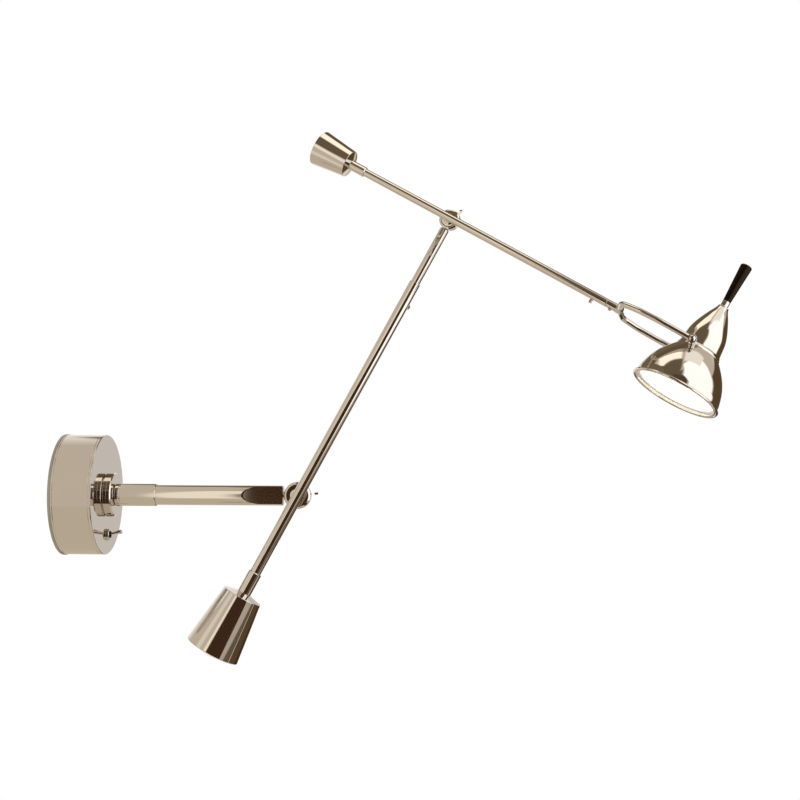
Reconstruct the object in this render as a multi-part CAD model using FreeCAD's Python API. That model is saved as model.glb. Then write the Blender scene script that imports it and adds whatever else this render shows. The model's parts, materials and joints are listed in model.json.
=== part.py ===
import FreeCAD, Part
import math
import os

# An articulating wall lamp: a round wall canopy, a swivelling bracket bar, and two counterweighted
# arms that end in a fork with a small tilting shade. Sizes are in millimetres and degrees.
# The origin is the centre of the wall plate's back face, +X points away from the wall along the
# bracket bar, and +Z is up. Each arm runs along its own frame's X. Its Y points to the side of
# the wing nuts, and the tubes lie on the other side of the hinges.
V = FreeCAD.Vector
AXIS_X, AXIS_Y, AXIS_Z = V(1, 0, 0), V(0, 1, 0), V(0, 0, 1)
os.makedirs("parts", exist_ok=True)

# Pose in which the lamp is stored
bracket_lean = 4.4        # the arms' plane leans back from upright
arm_rise = 61.4           # lower arm above the bracket bar's line
stem_turn = -10.0         # the stem's swivel in the lower tube
elbow_bend = 91.9         # upper arm against the stem
fork_turn = -7.6          # the fork's swivel in the upper tube
shade_tilt = 2.0          # the shade's axis off square to the fork
lever_raise = 12.0        # the toggle's bat above level

# Fits shared by the pieces
fit_gap = 0.05            # radial clearance of a pin or spigot in its bore
turn_gap = 0.3            # space between pieces that turn past each other
face_gap = 0.05           # space between flat faces that turn on each other
screw_gap = 0.3           # space between a guide screw's tip and its groove
head_sink = 0.7           # how far a screw head's rim reaches down round a tube

# Wall plate
plate_lip = 0.5           # how far its edge shows round the canopy
plate_thickness = 2.5
cable_hole_radius = 10.0
fixing_spacing = 70.0
fixing_hole_radius = 2.4
spigot_length = 8.0
spigot_wall = 2.8

# Canopy drum
canopy_radius = 60.0
canopy_front = 42.5       # the canopy's front face, from the wall
canopy_wall = 1.6
canopy_face = 2.0
canopy_chamfer = 1.0
canopy_screw_radius = 2.0
canopy_screw_inset = 4.0  # from the wall plate's front to the screws' line

# Hub and the threaded nipple on which the bracket swivels
hub_radius = 22.0
hub_thickness = 9.0
hub_chamfer = 1.2
nipple_radius = 5.0
nipple_bore = 2.6
nipple_length = 44.0
nipple_tail = 11.0        # how far it reaches in behind the canopy's face
groove_depth = 1.0
locknut_flats = 15.0
locknut_thickness = 5.0
washer_radius = 9.0
washer_thickness = 1.0

# Toggle switch
switch_drop = 40.0        # below the hub's axis
switch_width = 13.0
switch_height = 20.0
switch_depth = 17.0
bush_radius = 3.5
bush_length = 3.6         # in front of the canopy's face
switch_nut_radius = 5.85
switch_nut_thickness = 3.0
lever_length = 15.2
lever_root_radius = 1.0
lever_tip_radius = 2.15
lever_ball_radius = 1.9
lever_pivot_rise = 0.5    # the ball's centre in front of the canopy's face

# Driver, terminals and earth screw inside the canopy
driver_width = 54.0
driver_height = 34.0
driver_depth = 26.0
driver_lift = 11.0        # its lower side above the hub's axis
driver_lug = 7.0
driver_lug_thickness = 2.5
driver_screw_radius = 1.5
terminal_width = 36.0
terminal_height = 13.0
terminal_depth = 14.0
terminal_drop = 28.0      # its lower side below the hub's axis
terminal_ways = 3
wire_hole_radius = 1.6
earth_screw_inset = 13.3  # from the inside of the plate's spigot, sideways
earth_screw_drop = 22.0
earth_head_radius = 4.0
earth_head_height = 2.4
screw_inset = 0.5         # a plate screw's tip in from the plate's back
driver_screw_head = 3.0
driver_screw_height = 2.0

# Bracket: a collar that turns on the nipple, and the bar
collar_radius = 11.25
collar_length = 41.7
collar_chamfer = 0.8
bar_radius = 10.0
bar_length = 127.8
bar_fillet = 1.4
bar_bore = 3.0
bar_tenon_radius = 7.0
bar_tenon_length = 15.8
flat_length = 41.0
flat_nose = 21.0          # length of the milled flats' elliptical run-out
lower_disc_half = 4.85    # half the tongue's and the hinge disc's thickness
lower_disc_radius = 13.4
lower_disc_gap = 0.8      # between the bar's end and the disc's rim
lower_disc_chamfer = 2.2
lower_tenon_radius = 3.5
lower_tenon_depth = 17.0
swivel_screw_radius = 1.5
swivel_screw_back = 8.0   # from the nipple's end to the screw in its groove

# Lower joint
lower_pin_radius = 3.0
lower_boss_height = 3.6
lower_boss_radius = 6.75
lower_neck_radius = 3.2
lower_washer_thickness = 0.6
boss_edge = 0.5           # straight edge at a flared boss's foot
lower_nut_height = 7.0
lower_pin_stand = 3.0     # the pin's end past the nut
lower_wing_span = 18.2
lower_wing_turn = 8.0     # wings against the bracket bar's line
tube_set_off = 2.1        # the tube's axis beside the pin's, towards the shade

# Lower arm
lower_tube_radius = 5.55
lower_tube_end = 240.4
lower_ferrule_radius = 6.8
lower_ferrule_rise = 26.2 # its upper end above the weight's shoulder
lower_weight_top = 111.0  # the weight's shoulder, along the arm from the pivot
lower_tube_rise = 5.2     # the tube's tail above the weight's shoulder
lower_weight_length = 61.2
lower_weight_small = 20.0
lower_weight_large = 27.8
weight_end_slope = 0.24
lower_core_rise = 38.2    # the core rod's upper end above the weight's shoulder
lower_core_depth = 40.0   # how far the core rod reaches into the weight
stem_screw_inset = 24.4   # back from the lower tube's end
stem_screw_radius = 1.5
stem_screw_head = 2.6
screw_head_height = 1.8   # of the domed guide screws

# Stem: the rod that turns in the lower tube
stem_radius = 4.6
stem_tail = 40.4          # how far it reaches down into the lower tube
stem_reach = 71.3         # from the lower tube's end to the upper pivot
stem_bore = 2.2
stem_chamfer = 0.8
stem_flat_length = 31.0
stem_flat_nose = 9.0
upper_disc_half = 4.2
upper_disc_radius = 10.2
upper_disc_chamfer = 1.6
upper_tenon_radius = 2.6
upper_tenon_depth = 13.0

# Upper joint
upper_pin_radius = 2.2
upper_boss_height = 2.6
upper_boss_radius = 7.4
upper_neck_radius = 3.0
upper_washer_thickness = 0.5
upper_nut_height = 5.4
upper_pin_stand = 2.5
upper_wing_span = 16.5
upper_wing_turn = 56.0    # wings against the bracket bar's line

# Upper arm
upper_tube_radius = 3.95
upper_tube_end = 180.4
upper_ferrule_radius = 5.0
upper_ferrule_rise = 19.4
upper_weight_top = 117.6
upper_tube_rise = 6.6
upper_weight_length = 36.4
upper_weight_small = 13.6
upper_weight_large = 17.95
upper_core_rise = 34.6
upper_core_depth = 22.0
fork_screw_inset = 14.4   # back from the upper tube's end
fork_screw_radius = 1.5
fork_screw_stand = 4.0

# Fork
spindle_radius = 3.0
spindle_groove_depth = 0.8
spindle_tail = 30.0       # how far it reaches back into the upper tube
spindle_inset = 2.0       # its end, short of the sleeve's
sleeve_length = 10.3
sleeve_screw_radius = 1.2
sleeve_screw_head = 1.9
yoke_hub_radius = 4.3
yoke_hub_length = 6.0
prong_radius = 2.8
pivot_reach = 80.5        # from the sleeve's end to the tilt axis
pivot_half_span = 28.5    # from the arm's axis to the middle of a prong's eye
bow_half_span = 30.0      # at the fork's widest place
shoulder_half_span = 21.5
shoulder_out = 6.0
shoulder_end = 24.0
bow_out = 47.0
bow_lead = 2.0            # how much narrower the prongs are where the shoulders end
prong_bends = (9.0, 30.0, 60.0)
eye_radius = 4.3
eye_half = 2.1
tilt_pin_radius = 1.5
tilt_head_radius = 3.0
tilt_head_height = 1.6
tilt_pin_inset = 3.0      # its tip, out from the collar's bore
tilt_washer_thickness = 0.6

# Shade head; heights are above the rim's plane, along the shade's axis
pivot_height = 45.8
pivot_set_off = 7.0       # the tilt axis beside the shade's axis, towards the arm
shade_rim_radius = 41.2
shade_skirt = 7.2
shade_top = 44.0
shade_top_radius = 21.8
shade_wall = 1.2
bead_radius = 1.5
bead_ring_radius = 42.2
pivot_collar_height = 3.6
pivot_collar_radius = 20.9
pivot_collar_bore = 15.5
pivot_boss_radius = 3.6
housing_foot_radius = 20.2
housing_top = 94.0
housing_top_radius = 5.4
housing_wall = 1.4
neck_radius = 3.75
neck_length = 7.1
neck_bore = 1.5
neck_spigot_length = 5.0
neck_step = 1.0
handle_length = 40.2
handle_root_radius = 3.8
handle_tip_radius = 5.7
handle_bore = 2.2
handle_bore_depth = 15.0
reflector_wall = 0.8
reflector_mouth = 4.0
reflector_rim = 38.2
reflector_top_radius = 14.2
reflector_gaps = (2.6, 2.9, 3.2)  # inside the shade's outer face, from the mouth upwards
holder_radius = 11.0
holder_flange_radius = 17.6
holder_flange = 1.4
holder_length = 22.0
holder_edge = 2.0
holder_floor = 5.0
bulb_base_radius = 6.0
bulb_radius = 9.0
bulb_tip = 22.0
bulb_shoulder = 43.0
bulb_taper = 4.0


def turned(*stops):
    """Solid of revolution about X. A stop is (x, radius), or (mid x, mid r, x, r) for an arc."""
    edges = []
    start = last = V(stops[0][0], 0, stops[0][1])
    for stop in stops[1:] + (stops[0],):
        point = V(stop[-2], 0, stop[-1])
        if len(stop) == 4:
            edges.append(Part.Arc(last, V(stop[0], 0, stop[1]), point).toShape())
        elif point.distanceToPoint(last) > 1e-6:
            edges.append(Part.LineSegment(last, point).toShape())
        last = point
    if last.distanceToPoint(start) > 1e-6:
        edges.append(Part.LineSegment(last, start).toShape())
    return Part.Face(Part.Wire(edges)).revolve(V(0, 0, 0), AXIS_X, 360)


def bar_along(axis, radius, start, end, offset=V(0, 0, 0)):
    """Plain round bar along an axis of its frame."""
    return Part.makeCylinder(radius, end - start, offset + axis * start, axis)


def pipe_along(axis, radius, bore, start, end, offset=V(0, 0, 0)):
    return bar_along(axis, radius, start, end, offset).cut(bar_along(axis, bore, start - 1, end + 1, offset))


def block(x_span, y_span, z_span):
    corner = V(x_span[0], y_span[0], z_span[0])
    return Part.makeBox(x_span[1] - x_span[0], y_span[1] - y_span[0], z_span[1] - z_span[0], corner)


def placed(parent, shift=V(0, 0, 0), axis=AXIS_X, degrees=0.0):
    """A child frame: moved by shift in its parent, then turned about one of its own axes."""
    return parent.multiply(FreeCAD.Placement(shift, FreeCAD.Rotation(axis, degrees)))


def keep(node, frame, *solids):
    """Writes one sub-part, placed in the lamp's frame."""
    shape = solids[0] if len(solids) == 1 else Part.makeCompound(list(solids))
    if shape.ShapeType == "Compound" and len(shape.Solids) == 1:
        shape = shape.Solids[0]
    shape = shape.copy()
    shape.Placement = frame.multiply(shape.Placement)
    shape.exportStep("parts/" + node + ".step")
    return shape


# Frames of the moving bodies, each built on the one that carries it
lower_seat = lower_disc_half + lower_washer_thickness
lower_stand = lower_seat + lower_boss_height + lower_tube_radius
upper_seat = upper_disc_half + upper_washer_thickness
upper_stand = upper_seat + upper_boss_height + upper_tube_radius
collar_start = canopy_front + hub_thickness + turn_gap
bar_start = collar_start + collar_length
bar_end = bar_start + bar_length
lower_pivot_out = bar_end + lower_disc_gap + lower_disc_radius
sleeve_start = upper_tube_end + turn_gap
sleeve_end = sleeve_start + sleeve_length
tilt_axis_at = sleeve_end + pivot_reach
stem_foot = lower_tube_end - stem_tail
stem_screw_at = lower_tube_end - stem_screw_inset
elbow_at = lower_tube_end + stem_reach
fork_screw_at = upper_tube_end - fork_screw_inset
lower_tube_tail = lower_weight_top - lower_tube_rise
upper_tube_tail = upper_weight_top - upper_tube_rise

base_frame = FreeCAD.Placement()
lever_frame = placed(base_frame, V(canopy_front + lever_pivot_rise, 0, -switch_drop), AXIS_Y, -lever_raise)
bracket_frame = placed(base_frame, V(0, 0, 0), AXIS_X, -bracket_lean)
lower_joint_frame = placed(bracket_frame, V(lower_pivot_out, 0, 0), AXIS_Y, -arm_rise)
lower_frame = placed(lower_joint_frame, V(0, -lower_stand, -tube_set_off))
stem_frame = placed(lower_frame, V(0, 0, 0), AXIS_X, stem_turn)
upper_joint_frame = placed(stem_frame, V(elbow_at, 0, 0), AXIS_Y, elbow_bend)
upper_frame = placed(upper_joint_frame, V(0, -upper_stand, 0))
fork_frame = placed(upper_frame, V(0, 0, 0), AXIS_X, fork_turn)
tilt_frame = placed(fork_frame, V(tilt_axis_at, 0, 0), AXIS_Y, -shade_tilt)
shade_frame = placed(tilt_frame, V(pivot_set_off, 0, -pivot_height))

# Turned pieces lie along X, so these turn a frame's X onto its Y, its Z, or straight down
ACROSS_FROM_X = FreeCAD.Rotation(AXIS_Z, 90)
UP_FROM_X = FreeCAD.Rotation(AXIS_Y, -90)
DOWN_FROM_X = FreeCAD.Rotation(AXIS_Y, 90)


def upright(solid, rotation, shift=V(0, 0, 0)):
    """A turned solid, set in its frame."""
    copy = solid.copy()
    copy.Placement = FreeCAD.Placement(shift, rotation)
    return copy


def dome(start, radius, height):
    """Stop of turned() for a round end that closes on the axis."""
    ball = (radius ** 2 + height ** 2) / (2 * height)
    centre = start + height - ball
    half_angle = math.asin(min(1.0, radius / ball)) / 2
    return (centre + ball * math.cos(half_angle), ball * math.sin(half_angle), start + height, 0)


def groove_stops(middle, screw_radius, radius, depth):
    """Four stops of turned() for the groove that a guide screw runs in."""
    start = middle - screw_radius - screw_gap
    end = middle + screw_radius + screw_gap
    return (start, radius), (start, radius - depth), (end, radius - depth), (end, radius)


def guide_screw(radius, head_radius, tip, seat, head_height):
    """Radial screw along +X: its tip, its seat on the tube's outside, and a domed head."""
    skirt = seat - head_sink
    shoulder = seat + head_height * 0.4
    return turned((tip, 0), (tip, radius), (skirt, radius), (skirt, head_radius),
                  (shoulder, head_radius), dome(shoulder, head_radius, head_height * 0.6))


# --- wall base ---------------------------------------------------------------------------------
plate_radius = canopy_radius + plate_lip
canopy_inner = canopy_radius - canopy_wall
spigot_outer = canopy_inner - turn_gap
spigot_inner = spigot_outer - spigot_wall
screw_line = plate_thickness + canopy_screw_inset
plate = turned((0, cable_hole_radius), (0, plate_radius), (plate_thickness, plate_radius),
               (plate_thickness, spigot_outer), (plate_thickness + spigot_length, spigot_outer),
               (plate_thickness + spigot_length, spigot_inner), (plate_thickness, spigot_inner),
               (plate_thickness, cable_hole_radius))
driver_mid = driver_lift + driver_height / 2
driver_screw_out = driver_width / 2 + driver_lug / 2
earth_place = V(0, earth_screw_inset - spigot_inner, -earth_screw_drop)
plate_holes = [(driver_screw_radius, earth_place)]
for side in (-1, 1):
    plate_holes.append((fixing_hole_radius, V(0, side * fixing_spacing / 2, 0)))
    plate_holes.append((driver_screw_radius, V(0, side * driver_screw_out, driver_mid)))
for radius, place in plate_holes:
    plate = plate.cut(bar_along(AXIS_X, radius, -1, plate_thickness + 1, place))
screw_hole = bar_along(AXIS_Z, canopy_screw_radius, -canopy_radius, canopy_radius, V(screw_line, 0, 0))
keep("wall_plate", base_frame, plate.cut(screw_hole))

face_back = canopy_front - canopy_face
canopy = turned((plate_thickness, canopy_radius), (canopy_front - canopy_chamfer, canopy_radius),
                (canopy_front, canopy_radius - canopy_chamfer), (canopy_front, nipple_radius + fit_gap),
                (face_back, nipple_radius + fit_gap), (face_back, canopy_inner),
                (plate_thickness, canopy_inner))
canopy = canopy.cut(bar_along(AXIS_X, bush_radius + fit_gap, face_back - 1, canopy_front + 1,
                              V(0, 0, -switch_drop)))
canopy = canopy.cut(bar_along(AXIS_Z, canopy_screw_radius + fit_gap, -canopy_radius - 1, canopy_radius + 1,
                              V(screw_line, 0, 0)))
keep("canopy", base_frame, canopy)

grub_end = canopy_radius - 0.2
socket_radius = canopy_screw_radius * 0.45
socket_floor = grub_end - canopy_screw_radius * 0.7
grub = turned((spigot_inner, 0), (spigot_inner, canopy_screw_radius), (grub_end, canopy_screw_radius),
              (grub_end, socket_radius), (socket_floor, socket_radius), (socket_floor, 0))
keep("canopy_screws", base_frame, upright(grub, UP_FROM_X, V(screw_line, 0, 0)),
     upright(grub, DOWN_FROM_X, V(screw_line, 0, 0)))

hub_front = canopy_front + hub_thickness
hub = turned((canopy_front, nipple_radius + fit_gap), (canopy_front, hub_radius - hub_chamfer),
             (canopy_front + hub_chamfer, hub_radius), (hub_front - hub_chamfer, hub_radius),
             (hub_front, hub_radius - hub_chamfer), (hub_front, nipple_radius + fit_gap))
keep("hub_disc", base_frame, hub)

nipple_start = face_back - nipple_tail
nipple_end = nipple_start + nipple_length
swivel_at = nipple_end - swivel_screw_back
nipple_groove = groove_stops(swivel_at, swivel_screw_radius, nipple_radius, groove_depth)
keep("hub_nipple", base_frame,
     turned((nipple_start, nipple_bore), (nipple_start, nipple_radius), *nipple_groove,
            (nipple_end, nipple_radius), (nipple_end, nipple_bore)))

washer_back = face_back - washer_thickness
nipple_clear = nipple_radius + fit_gap
keep("hub_washer", base_frame, pipe_along(AXIS_X, washer_radius, nipple_clear, washer_back, face_back))
nut_corner = locknut_flats / 2 / math.cos(math.radians(30))
hexagon = Part.makePolygon([V(washer_back - locknut_thickness, nut_corner * math.cos(math.radians(60 * k)),
                              nut_corner * math.sin(math.radians(60 * k))) for k in range(7)])
locknut = Part.Face(hexagon).extrude(V(locknut_thickness, 0, 0))
keep("hub_locknut", base_frame, locknut.cut(bar_along(AXIS_X, nipple_radius + fit_gap, 0, canopy_front)))

switch = block((face_back - switch_depth, face_back), (-switch_width / 2, switch_width / 2),
               (-switch_drop - switch_height / 2, -switch_drop + switch_height / 2))
bush_end = canopy_front + bush_length
switch = switch.fuse(bar_along(AXIS_X, bush_radius, face_back - 1, bush_end, V(0, 0, -switch_drop)))
ball_room = lever_ball_radius + turn_gap
ball_at = canopy_front + lever_pivot_rise
mouth = turned((ball_at - ball_room, 0), (ball_at - ball_room, ball_room), (ball_at + 0.8, ball_room),
               (bush_end, bush_radius - 0.5), (bush_end + 1, bush_radius - 0.5), (bush_end + 1, 0))
mouth.translate(V(0, 0, -switch_drop))
keep("switch_body", base_frame, switch.cut(mouth).removeSplitter())

nut_front = canopy_front + switch_nut_thickness
switch_nut = turned((canopy_front, bush_radius + fit_gap), (canopy_front, switch_nut_radius),
                    (nut_front - 0.6, switch_nut_radius), (nut_front, switch_nut_radius - 0.6),
                    (nut_front, bush_radius + fit_gap))
switch_nut.translate(V(0, 0, -switch_drop))
keep("switch_nut", base_frame, switch_nut)

lever = turned((-lever_ball_radius, 0), (0, lever_ball_radius, lever_ball_radius * 0.85, lever_root_radius),
               (lever_length - lever_tip_radius * 0.7, lever_tip_radius),
               dome(lever_length - lever_tip_radius * 0.7, lever_tip_radius, lever_tip_radius * 0.7))
keep("switch_lever", lever_frame, lever)

driver_front = plate_thickness + driver_depth
driver = block((plate_thickness, driver_front), (-driver_width / 2, driver_width / 2),
               (driver_lift, driver_lift + driver_height))
driver = driver.makeFillet(2.0, [edge for edge in driver.Edges if edge.CenterOfMass.x > plate_thickness + 0.1])
lug_top = plate_thickness + driver_lug_thickness
for side in (-1, 1):
    span = sorted((side * (driver_width / 2 - 3), side * (driver_width / 2 + driver_lug)))
    driver = driver.fuse(block((plate_thickness, lug_top), span, (driver_mid - 5, driver_mid + 5)))
    driver = driver.cut(bar_along(AXIS_X, driver_screw_radius + fit_gap, 0, driver_front,
                                  V(0, side * driver_screw_out, driver_mid)))
keep("driver", base_frame, driver.removeSplitter())

screws = []
for side in (-1, 1):
    place = V(0, side * driver_screw_out, driver_mid)
    shank = bar_along(AXIS_X, driver_screw_radius, screw_inset, lug_top, place)
    head = bar_along(AXIS_X, driver_screw_head, lug_top, lug_top + driver_screw_height, place)
    screws.append(shank.fuse(head))
keep("driver_screws", base_frame, *screws)

terminal = block((plate_thickness, plate_thickness + terminal_depth),
                 (-terminal_width / 2, terminal_width / 2),
                 (-terminal_drop, -terminal_drop + terminal_height))
pitch = terminal_width / terminal_ways
for way in range(terminal_ways):
    across = (way - (terminal_ways - 1) / 2) * pitch
    terminal = terminal.cut(bar_along(AXIS_Z, wire_hole_radius, -terminal_drop - 1,
                                      -terminal_drop + terminal_height + 1,
                                      V(plate_thickness + terminal_depth * 0.4, across, 0)))
    terminal = terminal.cut(bar_along(AXIS_X, wire_hole_radius, plate_thickness + terminal_depth * 0.6,
                                      plate_thickness + terminal_depth + 1,
                                      V(0, across, -terminal_drop + terminal_height / 2)))
keep("terminal_block", base_frame, terminal)

earth_head_end = plate_thickness + earth_head_height
earth_shank = bar_along(AXIS_X, driver_screw_radius, screw_inset, plate_thickness, earth_place)
keep("earth_screw", base_frame,
     earth_shank.fuse(bar_along(AXIS_X, earth_head_radius, plate_thickness, earth_head_end, earth_place)))

# --- bracket -----------------------------------------------------------------------------------
nipple_room = nipple_end + 1.5
tenon_start = bar_start - bar_tenon_length
collar = turned((collar_start, nipple_radius + fit_gap), (collar_start, collar_radius - collar_chamfer),
                (collar_start + collar_chamfer, collar_radius), (bar_start - collar_chamfer, collar_radius),
                (bar_start, collar_radius - collar_chamfer), (bar_start, bar_tenon_radius + fit_gap),
                (nipple_room, bar_tenon_radius + fit_gap), (nipple_room, nipple_radius + fit_gap))
screw_bore = bar_along(AXIS_Y, swivel_screw_radius, 0, collar_radius + 1, V(swivel_at, 0, 0))
keep("bracket_collar", bracket_frame, collar.cut(screw_bore))
swivel_screw_tip = nipple_radius - groove_depth + screw_gap
keep("swivel_screw", bracket_frame,
     bar_along(AXIS_Y, swivel_screw_radius, swivel_screw_tip, collar_radius - 0.4, V(swivel_at, 0, 0)))

bar = turned((tenon_start, bar_bore), (tenon_start, bar_tenon_radius), (bar_start, bar_tenon_radius),
             (bar_start, bar_radius), (bar_end - bar_fillet, bar_radius),
             (bar_end - bar_fillet * 0.3, bar_radius - bar_fillet * 0.3, bar_end, bar_radius - bar_fillet),
             (bar_end, lower_tenon_radius + fit_gap),
             (bar_end - lower_tenon_depth, lower_tenon_radius + fit_gap),
             (bar_end - lower_tenon_depth, bar_bore))


def mill_flats(rod, radius, half, end, length, nose):
    """Leaves a rod's end as a tongue between two flats, each with an elliptical run-out."""
    nose_at = end - length + nose
    for side in (-1, 1):
        low, high = sorted((side * half, side * (radius + 1)))
        flat = block((nose_at, end + 1), (low, high), (-radius - 1, radius + 1))
        ellipse = Part.Ellipse(V(nose_at, 0, 0), nose, radius * 0.89).toShape()
        run_out = Part.Face(Part.Wire([ellipse])).extrude(V(0, 0, high - low))
        run_out.translate(V(0, 0, low))
        run_out.rotate(V(0, 0, 0), AXIS_X, -90)
        rod = rod.cut(flat.fuse(run_out))
    return rod


keep("bracket_bar", bracket_frame,
     mill_flats(bar, bar_radius, lower_disc_half, bar_end, flat_length, flat_nose))


def hinge_disc(half, radius, chamfer, bore):
    """Round eye across Y with chamfered rims."""
    rim = chamfer * 0.55
    return upright(turned((-half, bore), (-half, radius - chamfer), (-half + rim, radius),
                          (half - rim, radius),
                          (half, radius - chamfer), (half, bore)), ACROSS_FROM_X)


def knuckle(half, radius, chamfer, bore, tenon_radius, tenon_depth):
    """Hinge disc with the tenon that joins it to the bar, tenon_depth beyond the disc's rim."""
    disc = hinge_disc(half, radius, chamfer, bore)
    tenon = bar_along(AXIS_X, tenon_radius, -radius - tenon_depth, -bore)
    pin_bore = bar_along(AXIS_Y, bore, -half - 1, half + 1)
    return disc.fuse(tenon).cut(pin_bore).removeSplitter()


lower_pin_bore = lower_pin_radius + fit_gap
lower_knuckle = knuckle(lower_disc_half, lower_disc_radius, lower_disc_chamfer, lower_pin_bore,
                        lower_tenon_radius, lower_tenon_depth + lower_disc_gap - turn_gap)
keep("lower_hinge_disc", placed(bracket_frame, V(lower_pivot_out, 0, 0)), lower_knuckle)


def pivot_stud(stand, seat, tube_radius, boss_radius, neck_radius, pin_radius, end, axis_shift):
    """Flared boss that carries an arm's tube, with the pin through the hinge disc and wing nut."""
    top = -stand + tube_radius * 0.55
    start, foot = -stand + tube_radius, -seat - boss_edge
    height, spread = foot - start, boss_radius - neck_radius
    bend = (height ** 2 + spread ** 2) / (2 * height)
    half_angle = math.atan2(spread, bend - height) / 2
    flare_mid = (foot - bend + bend * math.cos(half_angle), boss_radius - bend * math.sin(half_angle))
    flare = turned((top, 0), (top, neck_radius), (start, neck_radius), flare_mid + (foot, boss_radius),
                   (-seat, boss_radius), (-seat, pin_radius), (end, pin_radius), (end, 0))
    stud = upright(flare, ACROSS_FROM_X).cut(bar_along(AXIS_X, tube_radius, -2 * stand, 2 * stand,
                                                 V(0, -stand, axis_shift)))
    spigot = bar_along(AXIS_Y, neck_radius * 0.8, -stand, -stand + tube_radius + 1, V(0, 0, 0))
    return stud.fuse(spigot).removeSplitter()


def wing_nut(height, pin_radius, span, wing_turn):
    """Cone nut with two curved wings, in shares of its height and span; its foot lies at y = 0."""
    foot = pin_radius + height * 0.5
    crown = pin_radius + height * 0.2
    body = turned((0, pin_radius + fit_gap), (0, foot), (height * 0.35, foot), (height, crown),
                  (height, pin_radius + fit_gap))
    nut = upright(body, ACROSS_FROM_X)
    thick = height * 0.3
    root = pin_radius + height * 0.12
    sole = height * 0.08
    low_root, high_root = V(root, sole, 0), V(root, height * 0.9, 0)
    bend, tip = V(foot, sole, 0), V(span, height * 1.55, 0)
    ear = V(span * 0.8, height * 1.9, 0)
    wing = Part.Wire([Part.LineSegment(low_root, bend).toShape(),
                      Part.Arc(bend, V(span * 0.72, height * 0.55, 0), tip).toShape(),
                      Part.Arc(tip, V(span * 0.93, height * 1.95, 0), ear).toShape(),
                      Part.Arc(ear, V(span * 0.55, height * 1.2, 0), high_root).toShape(),
                      Part.LineSegment(high_root, low_root).toShape()])
    blade = Part.Face(wing).extrude(V(0, 0, thick))
    blade.translate(V(0, 0, -thick / 2))
    for half_turn in (0, 180):
        turned_blade = blade.copy()
        turned_blade.rotate(V(0, 0, 0), AXIS_Y, half_turn)
        nut = nut.fuse(turned_blade)
    nut = nut.cut(bar_along(AXIS_Y, pin_radius + fit_gap, -1, height * 3)).removeSplitter()
    nut.rotate(V(0, 0, 0), AXIS_Y, -wing_turn)
    return nut


def washers(inner_face, thickness, radius, bore):
    """Two washers that turn with the arm, on both sides of a hinge disc."""
    near = pipe_along(AXIS_Y, radius, bore, -inner_face - thickness, -inner_face - face_gap)
    far = pipe_along(AXIS_Y, radius, bore, inner_face + face_gap, inner_face + thickness)
    return near, far


lower_nut_frame = placed(lower_joint_frame, V(0, lower_seat + face_gap, 0), AXIS_Y, arm_rise)
keep("lower_wing_nut", lower_nut_frame,
     wing_nut(lower_nut_height, lower_pin_radius, lower_wing_span, lower_wing_turn))

# --- lower arm ---------------------------------------------------------------------------------
lower_stud = pivot_stud(lower_stand, lower_seat, lower_tube_radius, lower_boss_radius, lower_neck_radius,
                        lower_pin_radius, lower_seat + lower_nut_height + lower_pin_stand, -tube_set_off)
keep("lower_pivot_stud", lower_joint_frame, lower_stud)
keep("lower_washers", lower_joint_frame,
     *washers(lower_disc_half, lower_washer_thickness, lower_boss_radius, lower_pin_bore))

lower_bore = stem_radius + fit_gap
lower_tube = pipe_along(AXIS_X, lower_tube_radius, lower_bore, -lower_tube_tail, lower_tube_end)
lower_tube = lower_tube.cut(bar_along(AXIS_Y, lower_neck_radius * 0.8 + fit_gap, 0, lower_stand,
                                      V(0, 0, tube_set_off)))
lower_tube = lower_tube.cut(bar_along(AXIS_Z, stem_screw_radius, -lower_stand, 0, V(stem_screw_at, 0, 0)))
keep("lower_tube", lower_frame, lower_tube)


def weight_set(node, frame, top, length, small, large, ferrule_radius, ferrule_rise, tube_radius, tail,
               core_radius, core_rise, core_depth):
    """Counterweight of one arm, on the side behind the pivot, with its ferrule and core rod."""
    end = top + length
    near_cone = small * weight_end_slope
    far_cone = large * weight_end_slope
    core_end = top + core_depth
    core_top = top - core_rise
    ferrule_top = top - ferrule_rise
    bore = core_radius + fit_gap
    ferrule_end = top - near_cone * (1 - ferrule_radius / small)
    weight = turned((-ferrule_end, bore), (-ferrule_end, ferrule_radius), (-top, small), (-end, large),
                    (-end - far_cone, 0), (-core_end, 0), (-core_end, bore))
    keep(node + "_counterweight", frame, weight)
    ferrule = turned((-ferrule_top, tube_radius + fit_gap), (-ferrule_top, ferrule_radius - 0.8),
                     (-ferrule_top - 0.8, ferrule_radius), (-ferrule_end, ferrule_radius),
                     (-ferrule_end, bore), (-tail, bore), (-tail, tube_radius + fit_gap))
    keep(node + "_ferrule", frame, ferrule)
    keep(node + "_core_rod", frame, bar_along(AXIS_X, core_radius, -core_end, -core_top))


weight_set("lower", lower_frame, lower_weight_top, lower_weight_length, lower_weight_small, lower_weight_large,
           lower_ferrule_radius, lower_ferrule_rise, lower_tube_radius, lower_tube_tail, stem_radius,
           lower_core_rise, lower_core_depth)
stem_screw_tip = stem_radius - groove_depth + screw_gap
stem_screw = guide_screw(stem_screw_radius, stem_screw_head, stem_screw_tip, lower_tube_radius,
                         screw_head_height)
stem_screw = upright(stem_screw, DOWN_FROM_X, V(stem_screw_at, 0, 0))
keep("stem_screw", lower_frame, stem_screw.cut(lower_tube))

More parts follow.
